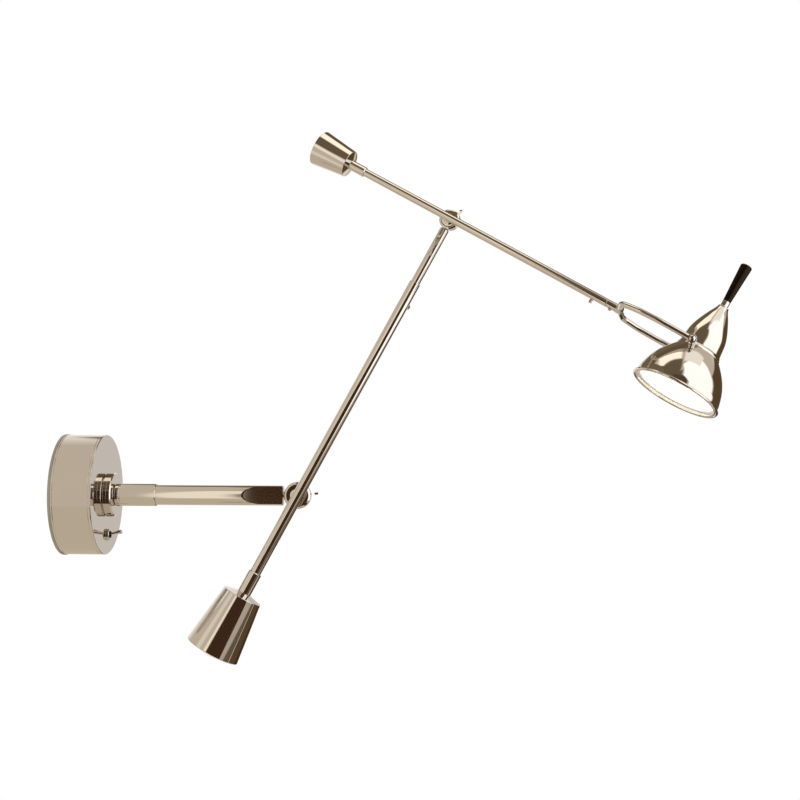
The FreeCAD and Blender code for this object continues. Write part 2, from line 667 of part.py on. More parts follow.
# --- stem --------------------------------------------------------------------------------------
stem_end = elbow_at - upper_disc_radius
stem_groove = groove_stops(stem_screw_at, stem_screw_radius, stem_radius, groove_depth)
stem = turned((stem_foot, stem_bore), (stem_foot, stem_radius), *stem_groove,
              (stem_end - stem_chamfer, stem_radius), (stem_end, stem_radius - stem_chamfer),
              (stem_end, upper_tenon_radius + fit_gap),
              (stem_end - upper_tenon_depth, upper_tenon_radius + fit_gap),
              (stem_end - upper_tenon_depth, stem_bore))
keep("stem_rod", stem_frame,
     mill_flats(stem, stem_radius, upper_disc_half, stem_end, stem_flat_length, stem_flat_nose))
upper_pin_bore = upper_pin_radius + fit_gap
upper_knuckle = knuckle(upper_disc_half, upper_disc_radius, upper_disc_chamfer, upper_pin_bore,
                        upper_tenon_radius, upper_tenon_depth - turn_gap)
keep("upper_hinge_disc", placed(stem_frame, V(elbow_at, 0, 0)), upper_knuckle)
upper_nut_frame = placed(stem_frame, V(elbow_at, upper_seat + face_gap, 0), AXIS_Y, arm_rise)
keep("upper_wing_nut", upper_nut_frame,
     wing_nut(upper_nut_height, upper_pin_radius, upper_wing_span, upper_wing_turn))

# --- upper arm ---------------------------------------------------------------------------------
upper_stud = pivot_stud(upper_stand, upper_seat, upper_tube_radius, upper_boss_radius, upper_neck_radius,
                        upper_pin_radius, upper_seat + upper_nut_height + upper_pin_stand, 0)
keep("upper_pivot_stud", upper_joint_frame, upper_stud)
keep("upper_washers", upper_joint_frame,
     *washers(upper_disc_half, upper_washer_thickness, upper_boss_radius, upper_pin_bore))
upper_bore = spindle_radius + fit_gap
upper_tube = pipe_along(AXIS_X, upper_tube_radius, upper_bore, -upper_tube_tail, upper_tube_end)
upper_tube = upper_tube.cut(bar_along(AXIS_Y, upper_neck_radius * 0.8 + fit_gap, 0, upper_stand))
upper_tube = upper_tube.cut(bar_along(AXIS_Z, fork_screw_radius, -upper_stand, 0, V(fork_screw_at, 0, 0)))
keep("upper_tube", upper_frame, upper_tube)
weight_set("upper", upper_frame, upper_weight_top, upper_weight_length, upper_weight_small, upper_weight_large,
           upper_ferrule_radius, upper_ferrule_rise, upper_tube_radius, upper_tube_tail, spindle_radius,
           upper_core_rise, upper_core_depth)
fork_screw_tip = spindle_radius - spindle_groove_depth + screw_gap
fork_screw_end = upper_tube_radius + fork_screw_stand
fork_screw_edge = 0.4
fork_screw = turned((fork_screw_tip, 0), (fork_screw_tip, fork_screw_radius),
                    (fork_screw_end - fork_screw_edge, fork_screw_radius),
                    (fork_screw_end, fork_screw_radius - fork_screw_edge), (fork_screw_end, 0))
keep("fork_screw", upper_frame, upright(fork_screw, DOWN_FROM_X, V(fork_screw_at, 0, 0)))

# --- fork --------------------------------------------------------------------------------------
spindle_start = upper_tube_end - spindle_tail
spindle_end = sleeve_end - spindle_inset
spindle_groove = groove_stops(fork_screw_at, fork_screw_radius, spindle_radius, spindle_groove_depth)
spindle = turned((spindle_start, 0), (spindle_start, spindle_radius), *spindle_groove,
                 (spindle_end, spindle_radius), (spindle_end, 0))
sleeve_screw_at = sleeve_start + sleeve_length / 2
sleeve_screw_tip = spindle_radius - spindle_groove_depth
screw_seat = bar_along(AXIS_Z, sleeve_screw_radius, -upper_stand, -sleeve_screw_tip, V(sleeve_screw_at, 0, 0))
keep("fork_spindle", fork_frame, spindle.cut(screw_seat))
sleeve = pipe_along(AXIS_X, upper_tube_radius, spindle_radius + fit_gap, sleeve_start, sleeve_end)
sleeve = sleeve.cut(screw_seat)
keep("fork_sleeve", fork_frame, sleeve)
sleeve_screw = guide_screw(sleeve_screw_radius, sleeve_screw_head, sleeve_screw_tip, upper_tube_radius,
                           screw_head_height)
sleeve_screw = upright(sleeve_screw, DOWN_FROM_X, V(sleeve_screw_at, 0, 0))
keep("sleeve_screw", fork_frame, sleeve_screw.cut(sleeve))


def rounded_path(corners, radii):
    """Straight runs joined by tangent arcs, one radius for each inner corner."""
    edges = []
    last = corners[0]
    for before, corner, after, radius in zip(corners, corners[1:], corners[2:], radii):
        inward = (before - corner).normalize()
        outward = (after - corner).normalize()
        half = inward.getAngle(outward) / 2
        reach = radius / math.tan(half)
        middle = corner + (inward + outward).normalize() * (radius / math.sin(half) - radius)
        first, second = corner + inward * reach, corner + outward * reach
        edges.append(Part.LineSegment(last, first).toShape())
        edges.append(Part.Arc(first, middle, second).toShape())
        last = second
    edges.append(Part.LineSegment(last, corners[-1]).toShape())
    return Part.Wire(edges)


yoke = bar_along(AXIS_X, yoke_hub_radius, sleeve_end, sleeve_end + yoke_hub_length)
yoke = yoke.fuse(bar_along(AXIS_X, spindle_radius, spindle_end + turn_gap, sleeve_end + 1))
for side in (-1, 1):
    route = [V(sleeve_end + yoke_hub_length / 2, 0, 0),
             V(sleeve_end + shoulder_out, side * shoulder_half_span, 0),
             V(sleeve_end + shoulder_end, side * (bow_half_span - bow_lead), 0),
             V(sleeve_end + bow_out, side * bow_half_span, 0),
             V(tilt_axis_at, side * pivot_half_span, 0)]
    path = rounded_path(route, prong_bends)
    start_direction = (route[1] - route[0]).normalize()
    profile = Part.Wire(Part.Circle(route[0], start_direction, prong_radius).toShape())
    prong = Part.Wire(path).makePipeShell([profile], True, False)
    eye = bar_along(AXIS_Y, eye_radius, side * pivot_half_span - eye_half, side * pivot_half_span + eye_half,
                    V(tilt_axis_at, 0, 0))
    yoke = yoke.fuse(prong).fuse(eye)
eye_inner, eye_outer = pivot_half_span - eye_half, pivot_half_span + eye_half
for side in (-1, 1):
    for start, end in ((eye_inner - prong_radius, eye_inner), (eye_outer, eye_outer + prong_radius)):
        span = sorted((side * start, side * end))
        yoke = yoke.cut(bar_along(AXIS_Y, eye_radius, span[0], span[1], V(tilt_axis_at, 0, 0)))
yoke = yoke.cut(bar_along(AXIS_Y, tilt_pin_radius + fit_gap, -2 * pivot_half_span, 2 * pivot_half_span,
                          V(tilt_axis_at, 0, 0)))
keep("fork_yoke", fork_frame, yoke.removeSplitter())

# --- shade head --------------------------------------------------------------------------------
collar_top = shade_top + pivot_collar_height
boss_end = eye_inner - tilt_washer_thickness
boss_place = V(-pivot_set_off, 0, pivot_height)
boss_room = bar_along(AXIS_Y, pivot_boss_radius + fit_gap, -boss_end, boss_end, boss_place)


def domed_shell(points, wall):
    """Shell of revolution about X whose outside passes through (height, radius) points."""
    outside = Part.BSplineCurve()
    outside.interpolate([V(x, 0, r) for x, r in points])
    inner_points = []
    for x, r in points:
        here = V(x, 0, r)
        along = outside.tangent(outside.parameter(here))[0]
        inner_points.append(here + V(along.z, 0, -along.x).normalize() * wall)
    inside = Part.BSplineCurve()
    inside.interpolate(inner_points)
    ends = [Part.LineSegment(V(points[k][0], 0, points[k][1]), inner_points[k]).toShape() for k in (0, -1)]
    outline = Part.Wire([outside.toShape(), ends[1], inside.toShape(), ends[0]])
    return Part.Face(outline).revolve(V(0, 0, 0), AXIS_X, 360)


shade_outline = ((0.434, 0.923), (0.63, 0.826), (0.78, 0.722))
shade_flank = [(shade_top * up, shade_rim_radius * wide) for up, wide in shade_outline]
shade_points = [(shade_skirt, shade_rim_radius)] + shade_flank + [(shade_top, shade_top_radius)]
shade = upright(domed_shell(shade_points, shade_wall), UP_FROM_X)
skirt = pipe_along(AXIS_Z, shade_rim_radius, shade_rim_radius - shade_wall, 0, shade_skirt + 0.05)
shade = shade.fuse(skirt).cut(boss_room).removeSplitter()
keep("shade", shade_frame, shade)

bead = Part.makeTorus(bead_ring_radius, bead_radius, V(0, 0, bead_radius * 0.6))
bead_bore = bar_along(AXIS_Z, shade_rim_radius, -2 * bead_radius, 4 * bead_radius)
keep("shade_bead", shade_frame, bead.cut(bead_bore))

ring = turned((shade_top, pivot_collar_bore), (shade_top, shade_top_radius),
              (shade_top + pivot_collar_height * 0.33, shade_top_radius),
              (shade_top + pivot_collar_height * 0.55, pivot_collar_radius), (collar_top, pivot_collar_radius),
              (collar_top, pivot_collar_bore))
ring = upright(ring, UP_FROM_X)
for side in (-1, 1):
    span = sorted((side * (pivot_collar_bore + 1), side * boss_end))
    ring = ring.fuse(bar_along(AXIS_Y, pivot_boss_radius, span[0], span[1], boss_place))
ring = ring.cut(bar_along(AXIS_Z, pivot_collar_bore, shade_top - pivot_boss_radius,
                          collar_top + pivot_boss_radius))
ring = ring.cut(bar_along(AXIS_Z, holder_flange_radius + fit_gap, collar_top, collar_top + pivot_boss_radius))
ring = ring.cut(bar_along(AXIS_Y, tilt_pin_radius, -2 * boss_end, 2 * boss_end, boss_place))
keep("pivot_collar", shade_frame, ring.removeSplitter())

tilt_pin_tip = pivot_collar_bore + tilt_pin_inset
tilt_pins = []
tilt_washers = []
for side in (-1, 1):
    head_seat = eye_outer + face_gap
    head_shoulder = head_seat + tilt_head_height * 0.4
    pin = turned((tilt_pin_tip, 0), (tilt_pin_tip, tilt_pin_radius), (head_seat, tilt_pin_radius),
                 (head_seat, tilt_head_radius), (head_shoulder, tilt_head_radius),
                 dome(head_shoulder, tilt_head_radius, tilt_head_height * 0.6))
    tilt_pins.append(upright(pin, FreeCAD.Rotation(AXIS_Z, 90 * side), boss_place))
    span = sorted((side * boss_end, side * (eye_inner - face_gap)))
    tilt_washers.append(pipe_along(AXIS_Y, pivot_boss_radius, tilt_pin_radius + fit_gap, span[0], span[1],
                                   boss_place))
keep("tilt_screws", shade_frame, *tilt_pins)
keep("tilt_washers", shade_frame, *tilt_washers)

rise = housing_top - collar_top
housing_outline = ((0.0, 1.0), (0.151, 0.965), (0.336, 0.916), (0.463, 0.837), (0.588, 0.728), (0.754, 0.554),
                   (0.836, 0.460), (0.942, 0.327))
housing_points = [(collar_top + rise * up, housing_foot_radius * wide) for up, wide in housing_outline]
housing_points.append((housing_top, housing_top_radius))
housing = upright(domed_shell(housing_points, housing_wall), UP_FROM_X).cut(boss_room)
housing = housing.cut(bar_along(AXIS_Z, 2 * housing_foot_radius, collar_top - 5, collar_top))
keep("socket_housing", shade_frame, housing)

neck_end = housing_top + neck_length
neck_spigot = housing_top_radius - housing_wall - turn_gap
neck_foot = housing_top - neck_spigot_length
stud_end = neck_end + handle_bore_depth - turn_gap
neck = turned((neck_foot, neck_bore), (neck_foot, neck_spigot), (housing_top, neck_spigot),
              (housing_top, housing_top_radius), (housing_top + neck_step, housing_top_radius),
              (housing_top + neck_step * 1.6, neck_radius), (neck_end, neck_radius),
              (neck_end, handle_bore - fit_gap),
              (stud_end, handle_bore - fit_gap), (stud_end, neck_bore))
keep("handle_neck", shade_frame, upright(neck, UP_FROM_X))

handle_end = neck_end + handle_length
handle_edge = handle_tip_radius * 0.25
handle_bore_end = neck_end + handle_bore_depth
handle = turned((neck_end, handle_bore), (neck_end, handle_root_radius - 0.5),
                (neck_end + 0.5, handle_root_radius), (handle_end - handle_edge, handle_tip_radius),
                (handle_end - handle_edge * 0.3, handle_tip_radius - handle_edge * 0.3,
                 handle_end, handle_tip_radius - handle_edge),
                (handle_end, 0), (handle_bore_end, 0), (handle_bore_end, handle_bore))
keep("handle", shade_frame, upright(handle, UP_FROM_X))

reflector_flank = [(up, wide - gap) for (up, wide), gap in zip(shade_flank, reflector_gaps)]
reflector_points = [(reflector_mouth, reflector_rim)] + reflector_flank + [(shade_top, reflector_top_radius)]
reflector = upright(domed_shell(reflector_points, reflector_wall), UP_FROM_X)
lip = pipe_along(AXIS_Z, shade_rim_radius - shade_wall - fit_gap, reflector_rim - reflector_wall,
                 reflector_mouth - reflector_wall, reflector_mouth + reflector_wall * 0.5)
keep("inner_reflector", shade_frame, reflector.fuse(lip).removeSplitter())

holder_foot = collar_top
flange_end = holder_foot + holder_flange
holder_end = holder_foot + holder_length
holder = turned((holder_foot, bulb_base_radius + fit_gap), (holder_foot, holder_flange_radius),
                (flange_end, holder_flange_radius), (flange_end, holder_radius),
                (holder_end - holder_edge, holder_radius), (holder_end, holder_radius - holder_edge),
                (holder_end, 0), (holder_end - holder_floor, 0),
                (holder_end - holder_floor, bulb_base_radius + fit_gap))
keep("lamp_holder", shade_frame, upright(holder, UP_FROM_X))
bulb_end = holder_end - holder_floor - turn_gap
octant = math.sqrt(0.5)
bulb = turned((bulb_tip, 0),
              (bulb_tip + bulb_radius * (1 - octant), bulb_radius * octant,
               bulb_tip + bulb_radius, bulb_radius),
              (bulb_shoulder - bulb_taper, bulb_radius), (bulb_shoulder, bulb_base_radius),
              (bulb_end, bulb_base_radius), (bulb_end, 0))
keep("bulb", shade_frame, upright(bulb, UP_FROM_X))
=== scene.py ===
import bpy
import bmesh
import json
import math
from mathutils import Matrix, Vector


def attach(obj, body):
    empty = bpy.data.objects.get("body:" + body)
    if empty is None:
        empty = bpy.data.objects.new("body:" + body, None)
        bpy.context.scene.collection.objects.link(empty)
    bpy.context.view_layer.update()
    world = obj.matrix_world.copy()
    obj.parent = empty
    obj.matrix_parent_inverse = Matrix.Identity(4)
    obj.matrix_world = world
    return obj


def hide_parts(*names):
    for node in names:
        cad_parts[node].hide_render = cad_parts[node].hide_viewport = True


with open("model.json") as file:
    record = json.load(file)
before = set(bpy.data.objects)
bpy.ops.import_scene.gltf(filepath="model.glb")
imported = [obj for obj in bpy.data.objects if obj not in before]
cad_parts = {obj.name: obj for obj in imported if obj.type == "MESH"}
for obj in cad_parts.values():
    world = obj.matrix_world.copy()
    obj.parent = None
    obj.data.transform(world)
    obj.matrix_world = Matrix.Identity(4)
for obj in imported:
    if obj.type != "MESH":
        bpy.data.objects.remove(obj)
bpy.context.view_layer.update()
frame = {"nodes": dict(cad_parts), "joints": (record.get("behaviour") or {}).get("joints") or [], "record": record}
print("frame loaded:", len(frame["nodes"]), "nodes")

# Lengths below are in millimetres, and toMetres turns a finished mesh into the frame's metres.
toMetres = Matrix.Scale(0.001, 4)
slip = 0.05                # the gap between pieces that fit into each other
tiny = 1e-6                # shorter than this counts as nothing
joints = {joint["name"]: joint for joint in frame["joints"]}


def jointAxis(name):
    return Vector(joints[name]["axis"]).normalized()


def jointPoint(name):
    return Vector(joints[name]["pos_m"])


def localFrame(point, xAxis, yAxis):
    zAxis = xAxis.cross(yAxis).normalized()
    turn = Matrix((xAxis, zAxis.cross(xAxis), zAxis)).transposed().to_4x4()
    return Matrix.Translation(point) @ turn @ toMetres


# Frames of the moving groups, placed by the joints
arms = {
    "lowerTubeEnd": 240.4,     # the stem's swivel, along the lower arm from its pivot
    "upperTubeEnd": 180.4,     # the fork's swivel, along the upper arm from its pivot
    "tiltOffSquare": 2.0,      # degrees between the shade's axis and square to the fork
    "pivotHeight": 45.8,       # the tilt axis above the shade's rim
    "pivotSetOff": 7.0,        # and beside the shade's axis
}
xAxis, yAxis = Vector((1, 0, 0)), Vector((0, 1, 0))
baseFrame = toMetres.copy()
bracketFrame = localFrame(Vector((0, 0, 0)), xAxis, -jointAxis("lower_elbow"))
lowerAlong = jointAxis("stem_swivel")
lowerPoint = jointPoint("stem_swivel") - lowerAlong * arms["lowerTubeEnd"] / 1000
lowerFrame = localFrame(lowerPoint, lowerAlong, -jointAxis("lower_elbow"))
stemFrame = localFrame(lowerPoint, lowerAlong, jointAxis("upper_elbow"))
upperAlong = jointAxis("fork_swivel")
upperPoint = jointPoint("fork_swivel") - upperAlong * arms["upperTubeEnd"] / 1000
upperFrame = localFrame(upperPoint, upperAlong, jointAxis("upper_elbow"))
forkFrame = localFrame(upperPoint, upperAlong, jointAxis("head_tilt"))
tiltFrame = localFrame(jointPoint("head_tilt"), upperAlong, jointAxis("head_tilt"))
headFrame = (tiltFrame @ Matrix.Rotation(math.radians(-arms["tiltOffSquare"]), 4, "Y")
             @ Matrix.Translation((arms["pivotSetOff"], 0, -arms["pivotHeight"])))
turnUp = Matrix.Rotation(math.radians(-90), 4, "Y")       # lays a turned piece's X on the frame's Z
turnDown = Matrix.Rotation(math.radians(90), 4, "Y")      # on its -Z
turnAcross = Matrix.Rotation(math.radians(90), 4, "Z")    # and on its Y


# Finishes
def linearColor(hexText, alpha=1.0):
    channels = [int(hexText[k:k + 2], 16) / 255 for k in (1, 3, 5)]
    return tuple(c / 12.92 if c <= 0.04045 else ((c + 0.055) / 1.055) ** 2.4 for c in channels) + (alpha,)


def addNode(tree, kind, settings=None, links=None):
    node = tree.nodes.new(kind)
    for key, value in (settings or {}).items():
        if isinstance(key, str) and hasattr(node, key):
            setattr(node, key, value)
        else:
            node.inputs[key].default_value = value
    for key, socket in (links or {}).items():
        tree.links.new(socket, node.inputs[key])
    return node


def emptyMaterial(name):
    material = bpy.data.materials.new(name)
    material.use_nodes = True
    material.node_tree.nodes.clear()
    return material, material.node_tree


def newFinish(name, base, metallic, roughness):
    material, tree = emptyMaterial(name)
    shader = addNode(tree, "ShaderNodeBsdfPrincipled", {"Base Color": linearColor(base), "Metallic": metallic,
                                                        "Roughness": roughness})
    addNode(tree, "ShaderNodeOutputMaterial", links={"Surface": shader.outputs["BSDF"]})
    coords = addNode(tree, "ShaderNodeTexCoord")
    return material, tree, shader, coords.outputs["Object"]


def spread(tree, shader, coords, low, high, sizeMm):
    # Roughness that drifts between low and high over patches of about sizeMm.
    noise = addNode(tree, "ShaderNodeTexNoise", {"Scale": 1000 / sizeMm, "Detail": 4.0}, {"Vector": coords})
    ramp = addNode(tree, "ShaderNodeMapRange",
                   {"From Min": 0.3, "From Max": 0.7, "To Min": low, "To Max": high},
                   {"Value": noise.outputs["Fac"]})
    tree.links.new(ramp.outputs["Result"], shader.inputs["Roughness"])
    return noise


def blend(tree, share, first, second):
    mix = addNode(tree, "ShaderNodeMix", {"data_type": "RGBA"}, {0: share})
    mix.inputs[6].default_value = linearColor(first)
    mix.inputs[7].default_value = linearColor(second)
    return mix.outputs[2]


def tint(tree, shader, noise, first, second):
    # Base colour that drifts between two colours with the same patches.
    tree.links.new(blend(tree, noise.outputs["Fac"], first, second), shader.inputs["Base Color"])


def grain(tree, shader, coords, sizeMm, depthMm):
    # Bumps of about sizeMm across and depthMm deep.
    noise = addNode(tree, "ShaderNodeTexNoise", {"Scale": 1000 / sizeMm, "Detail": 3.0}, {"Vector": coords})
    bump = addNode(tree, "ShaderNodeBump", {"Strength": 1.0, "Distance": depthMm / 1000},
                   {"Height": noise.outputs["Fac"]})
    tree.links.new(bump.outputs["Normal"], shader.inputs["Normal"])


def lit(shader, hexText, strength):
    shader.inputs["Emission Color"].default_value = linearColor(hexText)
    shader.inputs["Emission Strength"].default_value = strength


def polishedNickel():
    # Nickel plate over buffed brass: a warm mirror, with a faint buffing haze of 30 mm patches
    material, tree, shader, coords = newFinish("polished_nickel_plate", "#dedad3", 1.0, 0.05)
    noise = spread(tree, shader, coords, 0.05, 0.09, 30)
    tint(tree, shader, noise, "#dcd8d0", "#e1ddd6")
    grain(tree, shader, coords, 40, 0.002)
    return material


def turnedSteel():
    # Zinc-plated steel: bluish grey, fine turning marks
    material, tree, shader, coords = newFinish("zinc_plated_steel", "#b4b4b0", 1.0, 0.35)
    noise = spread(tree, shader, coords, 0.28, 0.46, 6)
    tint(tree, shader, noise, "#a6a7a5", "#bfbfba")
    grain(tree, shader, coords, 0.8, 0.01)
    return material


def bareBrass():
    # Lacquer-free turned brass: yellow, a little dulled
    material, tree, shader, coords = newFinish("turned_brass", "#c9a561", 1.0, 0.3)
    noise = spread(tree, shader, coords, 0.24, 0.4, 5)
    tint(tree, shader, noise, "#b8934f", "#d0ae6c")
    grain(tree, shader, coords, 0.7, 0.01)
    return material


def blackPhenolic():
    # Phenolic resin, moulded and buffed: near black with a brown cast and a soft gloss
    material, tree, shader, coords = newFinish("black_phenolic_resin", "#140d08", 0.0, 0.2)
    noise = spread(tree, shader, coords, 0.16, 0.26, 9)
    tint(tree, shader, noise, "#100a06", "#1c120b")
    shader.inputs["Specular Tint"].default_value = linearColor("#b08f74")    # the gloss is brown too
    grain(tree, shader, coords, 1.2, 0.012)
    return material


def whiteEnamel():
    # Sprayed stove enamel inside the shade: warm white, slight orange peel, lit by the bulb, with a faint painted
    # glow on top that stands in for more of the bulb's light
    material, tree, shader, coords = newFinish("white_stove_enamel", "#fcfaf5", 0.0, 0.32)
    noise = spread(tree, shader, coords, 0.26, 0.38, 12)
    tint(tree, shader, noise, "#faf7f0", "#fdfcf9")
    # painted glow: the enamel emits a faint warm white of its own, as if the bulb lit it more brightly
    lit(shader, "#fffdf4", 0.25)
    grain(tree, shader, coords, 1.6, 0.03)
    return material


def frostedBulb():
    # Satin glass over a lit filament column: an even warm white glow
    material, tree, shader, coords = newFinish("frosted_lit_glass", "#fffaf0", 0.0, 0.45)
    spread(tree, shader, coords, 0.4, 0.5, 4)
    lit(shader, "#fffbf4", 4.0)
    grain(tree, shader, coords, 0.8, 0.02)
    return material


def mouldedPlastic(name, dark, light, low, high):
    material, tree, shader, coords = newFinish(name, light, 0.0, high)
    noise = spread(tree, shader, coords, low, high, 7)
    tint(tree, shader, noise, dark, light)
    grain(tree, shader, coords, 0.5, 0.02)
    return material


finishes = {
    "polished_nickel": polishedNickel(),
    "steel": turnedSteel(),
    "brass": bareBrass(),
    "black_handle": blackPhenolic(),
    "white_enamel": whiteEnamel(),
    "bulb_glass": frostedBulb(),
    "switch_plastic": mouldedPlastic("black_moulded_nylon", "#151515", "#222120", 0.5, 0.65),
    "driver_case": mouldedPlastic("white_polycarbonate", "#e0deda", "#ebe9e4", 0.45, 0.6),
    "terminal_plastic": mouldedPlastic("ivory_polyamide", "#d9d3c2", "#e3ddcd", 0.5, 0.62),
    "fibre_washer": mouldedPlastic("vulcanised_fibre", "#1c1815", "#2b2520", 0.6, 0.8),
    "holder_plastic": mouldedPlastic("glazed_holder_thermoset", "#dcd9d2", "#e6e3dc", 0.3, 0.42),
}
for part in frame["record"]["subparts"]:
    slots = frame["nodes"][part["node"]].data.materials
    slots.clear()
    slots.append(finishes[part["material_slot"]])
print("finishes ready:", len(finishes))


# Node trees that make the turned and the bent pieces
def newTree(name, sockets):
    tree = bpy.data.node_groups.new(name, "GeometryNodeTree")
    tree.interface.new_socket("Geometry", in_out="OUTPUT", socket_type="NodeSocketGeometry")
    tree.interface.new_socket("Geometry", in_out="INPUT", socket_type="NodeSocketGeometry")
    for label, kind in sockets:
        tree.interface.new_socket(label, in_out="INPUT", socket_type=kind)
    return tree, addNode(tree, "NodeGroupInput").outputs


def mathNode(tree, operation, first, second=None):
    node = addNode(tree, "ShaderNodeMath", {"operation": operation})
    for slotIndex, value in enumerate((first, second)):
        if value is None:
            continue
        if isinstance(value, (int, float)):
            node.inputs[slotIndex].default_value = value
        else:
            tree.links.new(value, node.inputs[slotIndex])
    return node.outputs[0]


def closeTree(tree, mesh, given):
    real = addNode(tree, "GeometryNodeRealizeInstances", links={"Geometry": mesh})
    coat = addNode(tree, "GeometryNodeSetMaterial", links={"Geometry": real.outputs[0],
                                                           "Material": given["Finish"]})
    addNode(tree, "NodeGroupOutput", links={0: coat.outputs[0]})


def lathe():
    # Turns the outline on the object's own points about X.
    tree, given = newTree("Lathe", [("Steps", "NodeSocketInt"), ("Stops", "NodeSocketInt"),
                                    ("Finish", "NodeSocketMaterial")])
    columns = mathNode(tree, "ADD", given["Steps"], 1)
    grid = addNode(tree, "GeometryNodeMeshGrid", links={"Vertices X": columns, "Vertices Y": given["Stops"]})
    index = addNode(tree, "GeometryNodeInputIndex").outputs[0]
    column = mathNode(tree, "DIVIDE", mathNode(tree, "ADD", index, 0.25), given["Stops"])
    column = mathNode(tree, "FLOOR", column)
    row = mathNode(tree, "SUBTRACT", index, mathNode(tree, "MULTIPLY", column, given["Stops"]))
    turn = mathNode(tree, "MULTIPLY", mathNode(tree, "DIVIDE", column, given["Steps"]), 2 * math.pi)
    place = addNode(tree, "GeometryNodeInputPosition").outputs[0]
    sample = addNode(tree, "GeometryNodeSampleIndex", {"data_type": "FLOAT_VECTOR", "domain": "POINT"},
                     {"Geometry": given["Geometry"], "Value": place, "Index": row})
    parts = addNode(tree, "ShaderNodeSeparateXYZ", links={0: sample.outputs[0]})
    radius = parts.outputs["Z"]
    ring = addNode(tree, "ShaderNodeCombineXYZ",
                   links={"X": parts.outputs["X"],
                          "Y": mathNode(tree, "MULTIPLY", radius, mathNode(tree, "COSINE", turn)),
                          "Z": mathNode(tree, "MULTIPLY", radius, mathNode(tree, "SINE", turn))})
    moved = addNode(tree, "GeometryNodeSetPosition", links={"Geometry": grid.outputs["Mesh"],
                                                            "Position": ring.outputs[0]})
    merged = addNode(tree, "GeometryNodeMergeByDistance", {"Distance": 0.0005},
                     {"Geometry": moved.outputs[0]})
    closeTree(tree, merged.outputs[0], given)
    return tree


def benderTree():
    # Sweeps a round bar along the path of the object's own edges.
    tree, given = newTree("Rod Bender", [("Rod Radius", "NodeSocketFloat"), ("Steps", "NodeSocketInt"),
                                         ("Finish", "NodeSocketMaterial")])
    path = addNode(tree, "GeometryNodeMeshToCurve", links={"Mesh": given["Geometry"]})
    circle = addNode(tree, "GeometryNodeCurvePrimitiveCircle", links={"Resolution": given["Steps"],
                                                                      "Radius": given["Rod Radius"]})
    swept = addNode(tree, "GeometryNodeCurveToMesh", {"Fill Caps": True},
                    {"Curve": path.outputs[0], "Profile Curve": circle.outputs[0]})
    closeTree(tree, swept.outputs[0], given)
    return tree


latheTree = lathe()
rodTree = benderTree()
crispAngle = math.radians(34)      # edges sharper than this are kept sharp
easedAngle = math.radians(25)      # and outline corners sharper than this are rounded


def newObject(name, data):
    obj = bpy.data.objects.new(name, data)
    bpy.context.scene.collection.objects.link(obj)
    return obj


def runTree(name, points, edges, tree, finish, values):
    # One piece from a tree: plain mesh, normals outwards, the modifier gone.
    seed = bpy.data.meshes.new(name)
    places = [(point[0], 0, point[1]) if len(point) == 2 else tuple(point) for point in points]
    seed.from_pydata(places, edges, [])
    maker = newObject(name + "_maker", seed)
    modifier = maker.modifiers.new("make", "NODES")
    modifier.node_group = tree
    values = dict(values, Finish=finishes[finish])
    for item in tree.interface.items_tree:
        if item.in_out == "INPUT" and item.name in values:
            modifier[item.identifier] = values[item.name]
    graph = bpy.context.evaluated_depsgraph_get()
    mesh = bpy.data.meshes.new_from_object(maker.evaluated_get(graph))
    mesh.name = name
    bpy.data.objects.remove(maker)
    bpy.data.meshes.remove(seed)
    turnOutwards(mesh)
    crisp(mesh)
    return newObject(name, mesh)


def turnOutwards(mesh):
    work = bmesh.new()
    work.from_mesh(mesh)
    bmesh.ops.recalc_face_normals(work, faces=work.faces)
    work.to_mesh(mesh)
    work.free()


def outline(*stops):
    # Points of a turned outline. A stop is (x, radius), or (mid x, mid radius, x, radius) for an arc.
    points = [Vector(stops[0])]
    for stop in stops[1:]:
        if len(stop) == 2:
            points.append(Vector(stop))
            continue
        points += arcPoints(points[-1], Vector(stop[:2]), Vector(stop[2:]))
    return points


def arcPoints(first, middle, last, steps=10):
    # Points after first on the circle through three points.
    a, b = middle - first, last - first
    cross = 2 * (a.x * b.y - a.y * b.x)
    centre = first + Vector((b.y * a.length_squared - a.y * b.length_squared,
                             a.x * b.length_squared - b.x * a.length_squared)) / cross
    radius = (first - centre).length
    start = math.atan2(first.y - centre.y, first.x - centre.x)
    sweep = math.atan2(last.y - centre.y, last.x - centre.x) - start
    if cross > 0 and sweep < 0:
        sweep += 2 * math.pi
    if cross < 0 and sweep > 0:
        sweep -= 2 * math.pi
    angles = [start + sweep * (k + 1) / steps for k in range(steps)]
    return [centre + Vector((math.cos(t), math.sin(t))) * radius for t in angles]


def eased(points, radius, steps=3):
    # Rounds each corner of a closed outline by up to radius, where it turns by more than easedAngle.
    result = []
    for k, corner in enumerate(points):
        before, after = points[k - 1], points[(k + 1) % len(points)]
        inward, outward = before - corner, after - corner
        onAxis = corner.y < tiny
        bendy = math.pi - inward.angle(outward) if inward.length > tiny and outward.length > tiny else 0
        if onAxis or bendy < easedAngle:
            result.append(corner)
            continue
        cut = min(radius, 0.45 * inward.length, 0.45 * outward.length)
        start, end = corner + inward.normalized() * cut, corner + outward.normalized() * cut
        for step in range(steps + 1):
            t = step / steps
            result.append(start * (1 - t) ** 2 + corner * 2 * t * (1 - t) + end * t ** 2)
    return result


def turned(name, stops, place, finish="polished_nickel", edge=0.25, steps=96):
    # A lathe-turned piece, with its X axis laid on place.
    points = eased(outline(*stops), edge)
    loop = points + [points[0]] if points[0].y > tiny or points[-1].y > tiny else points
    edges = [(k, k + 1) for k in range(len(loop) - 1)]
    piece = runTree(name, loop, edges, latheTree, finish, {"Steps": steps, "Stops": len(loop)})
    piece.data.transform(place)
    return piece


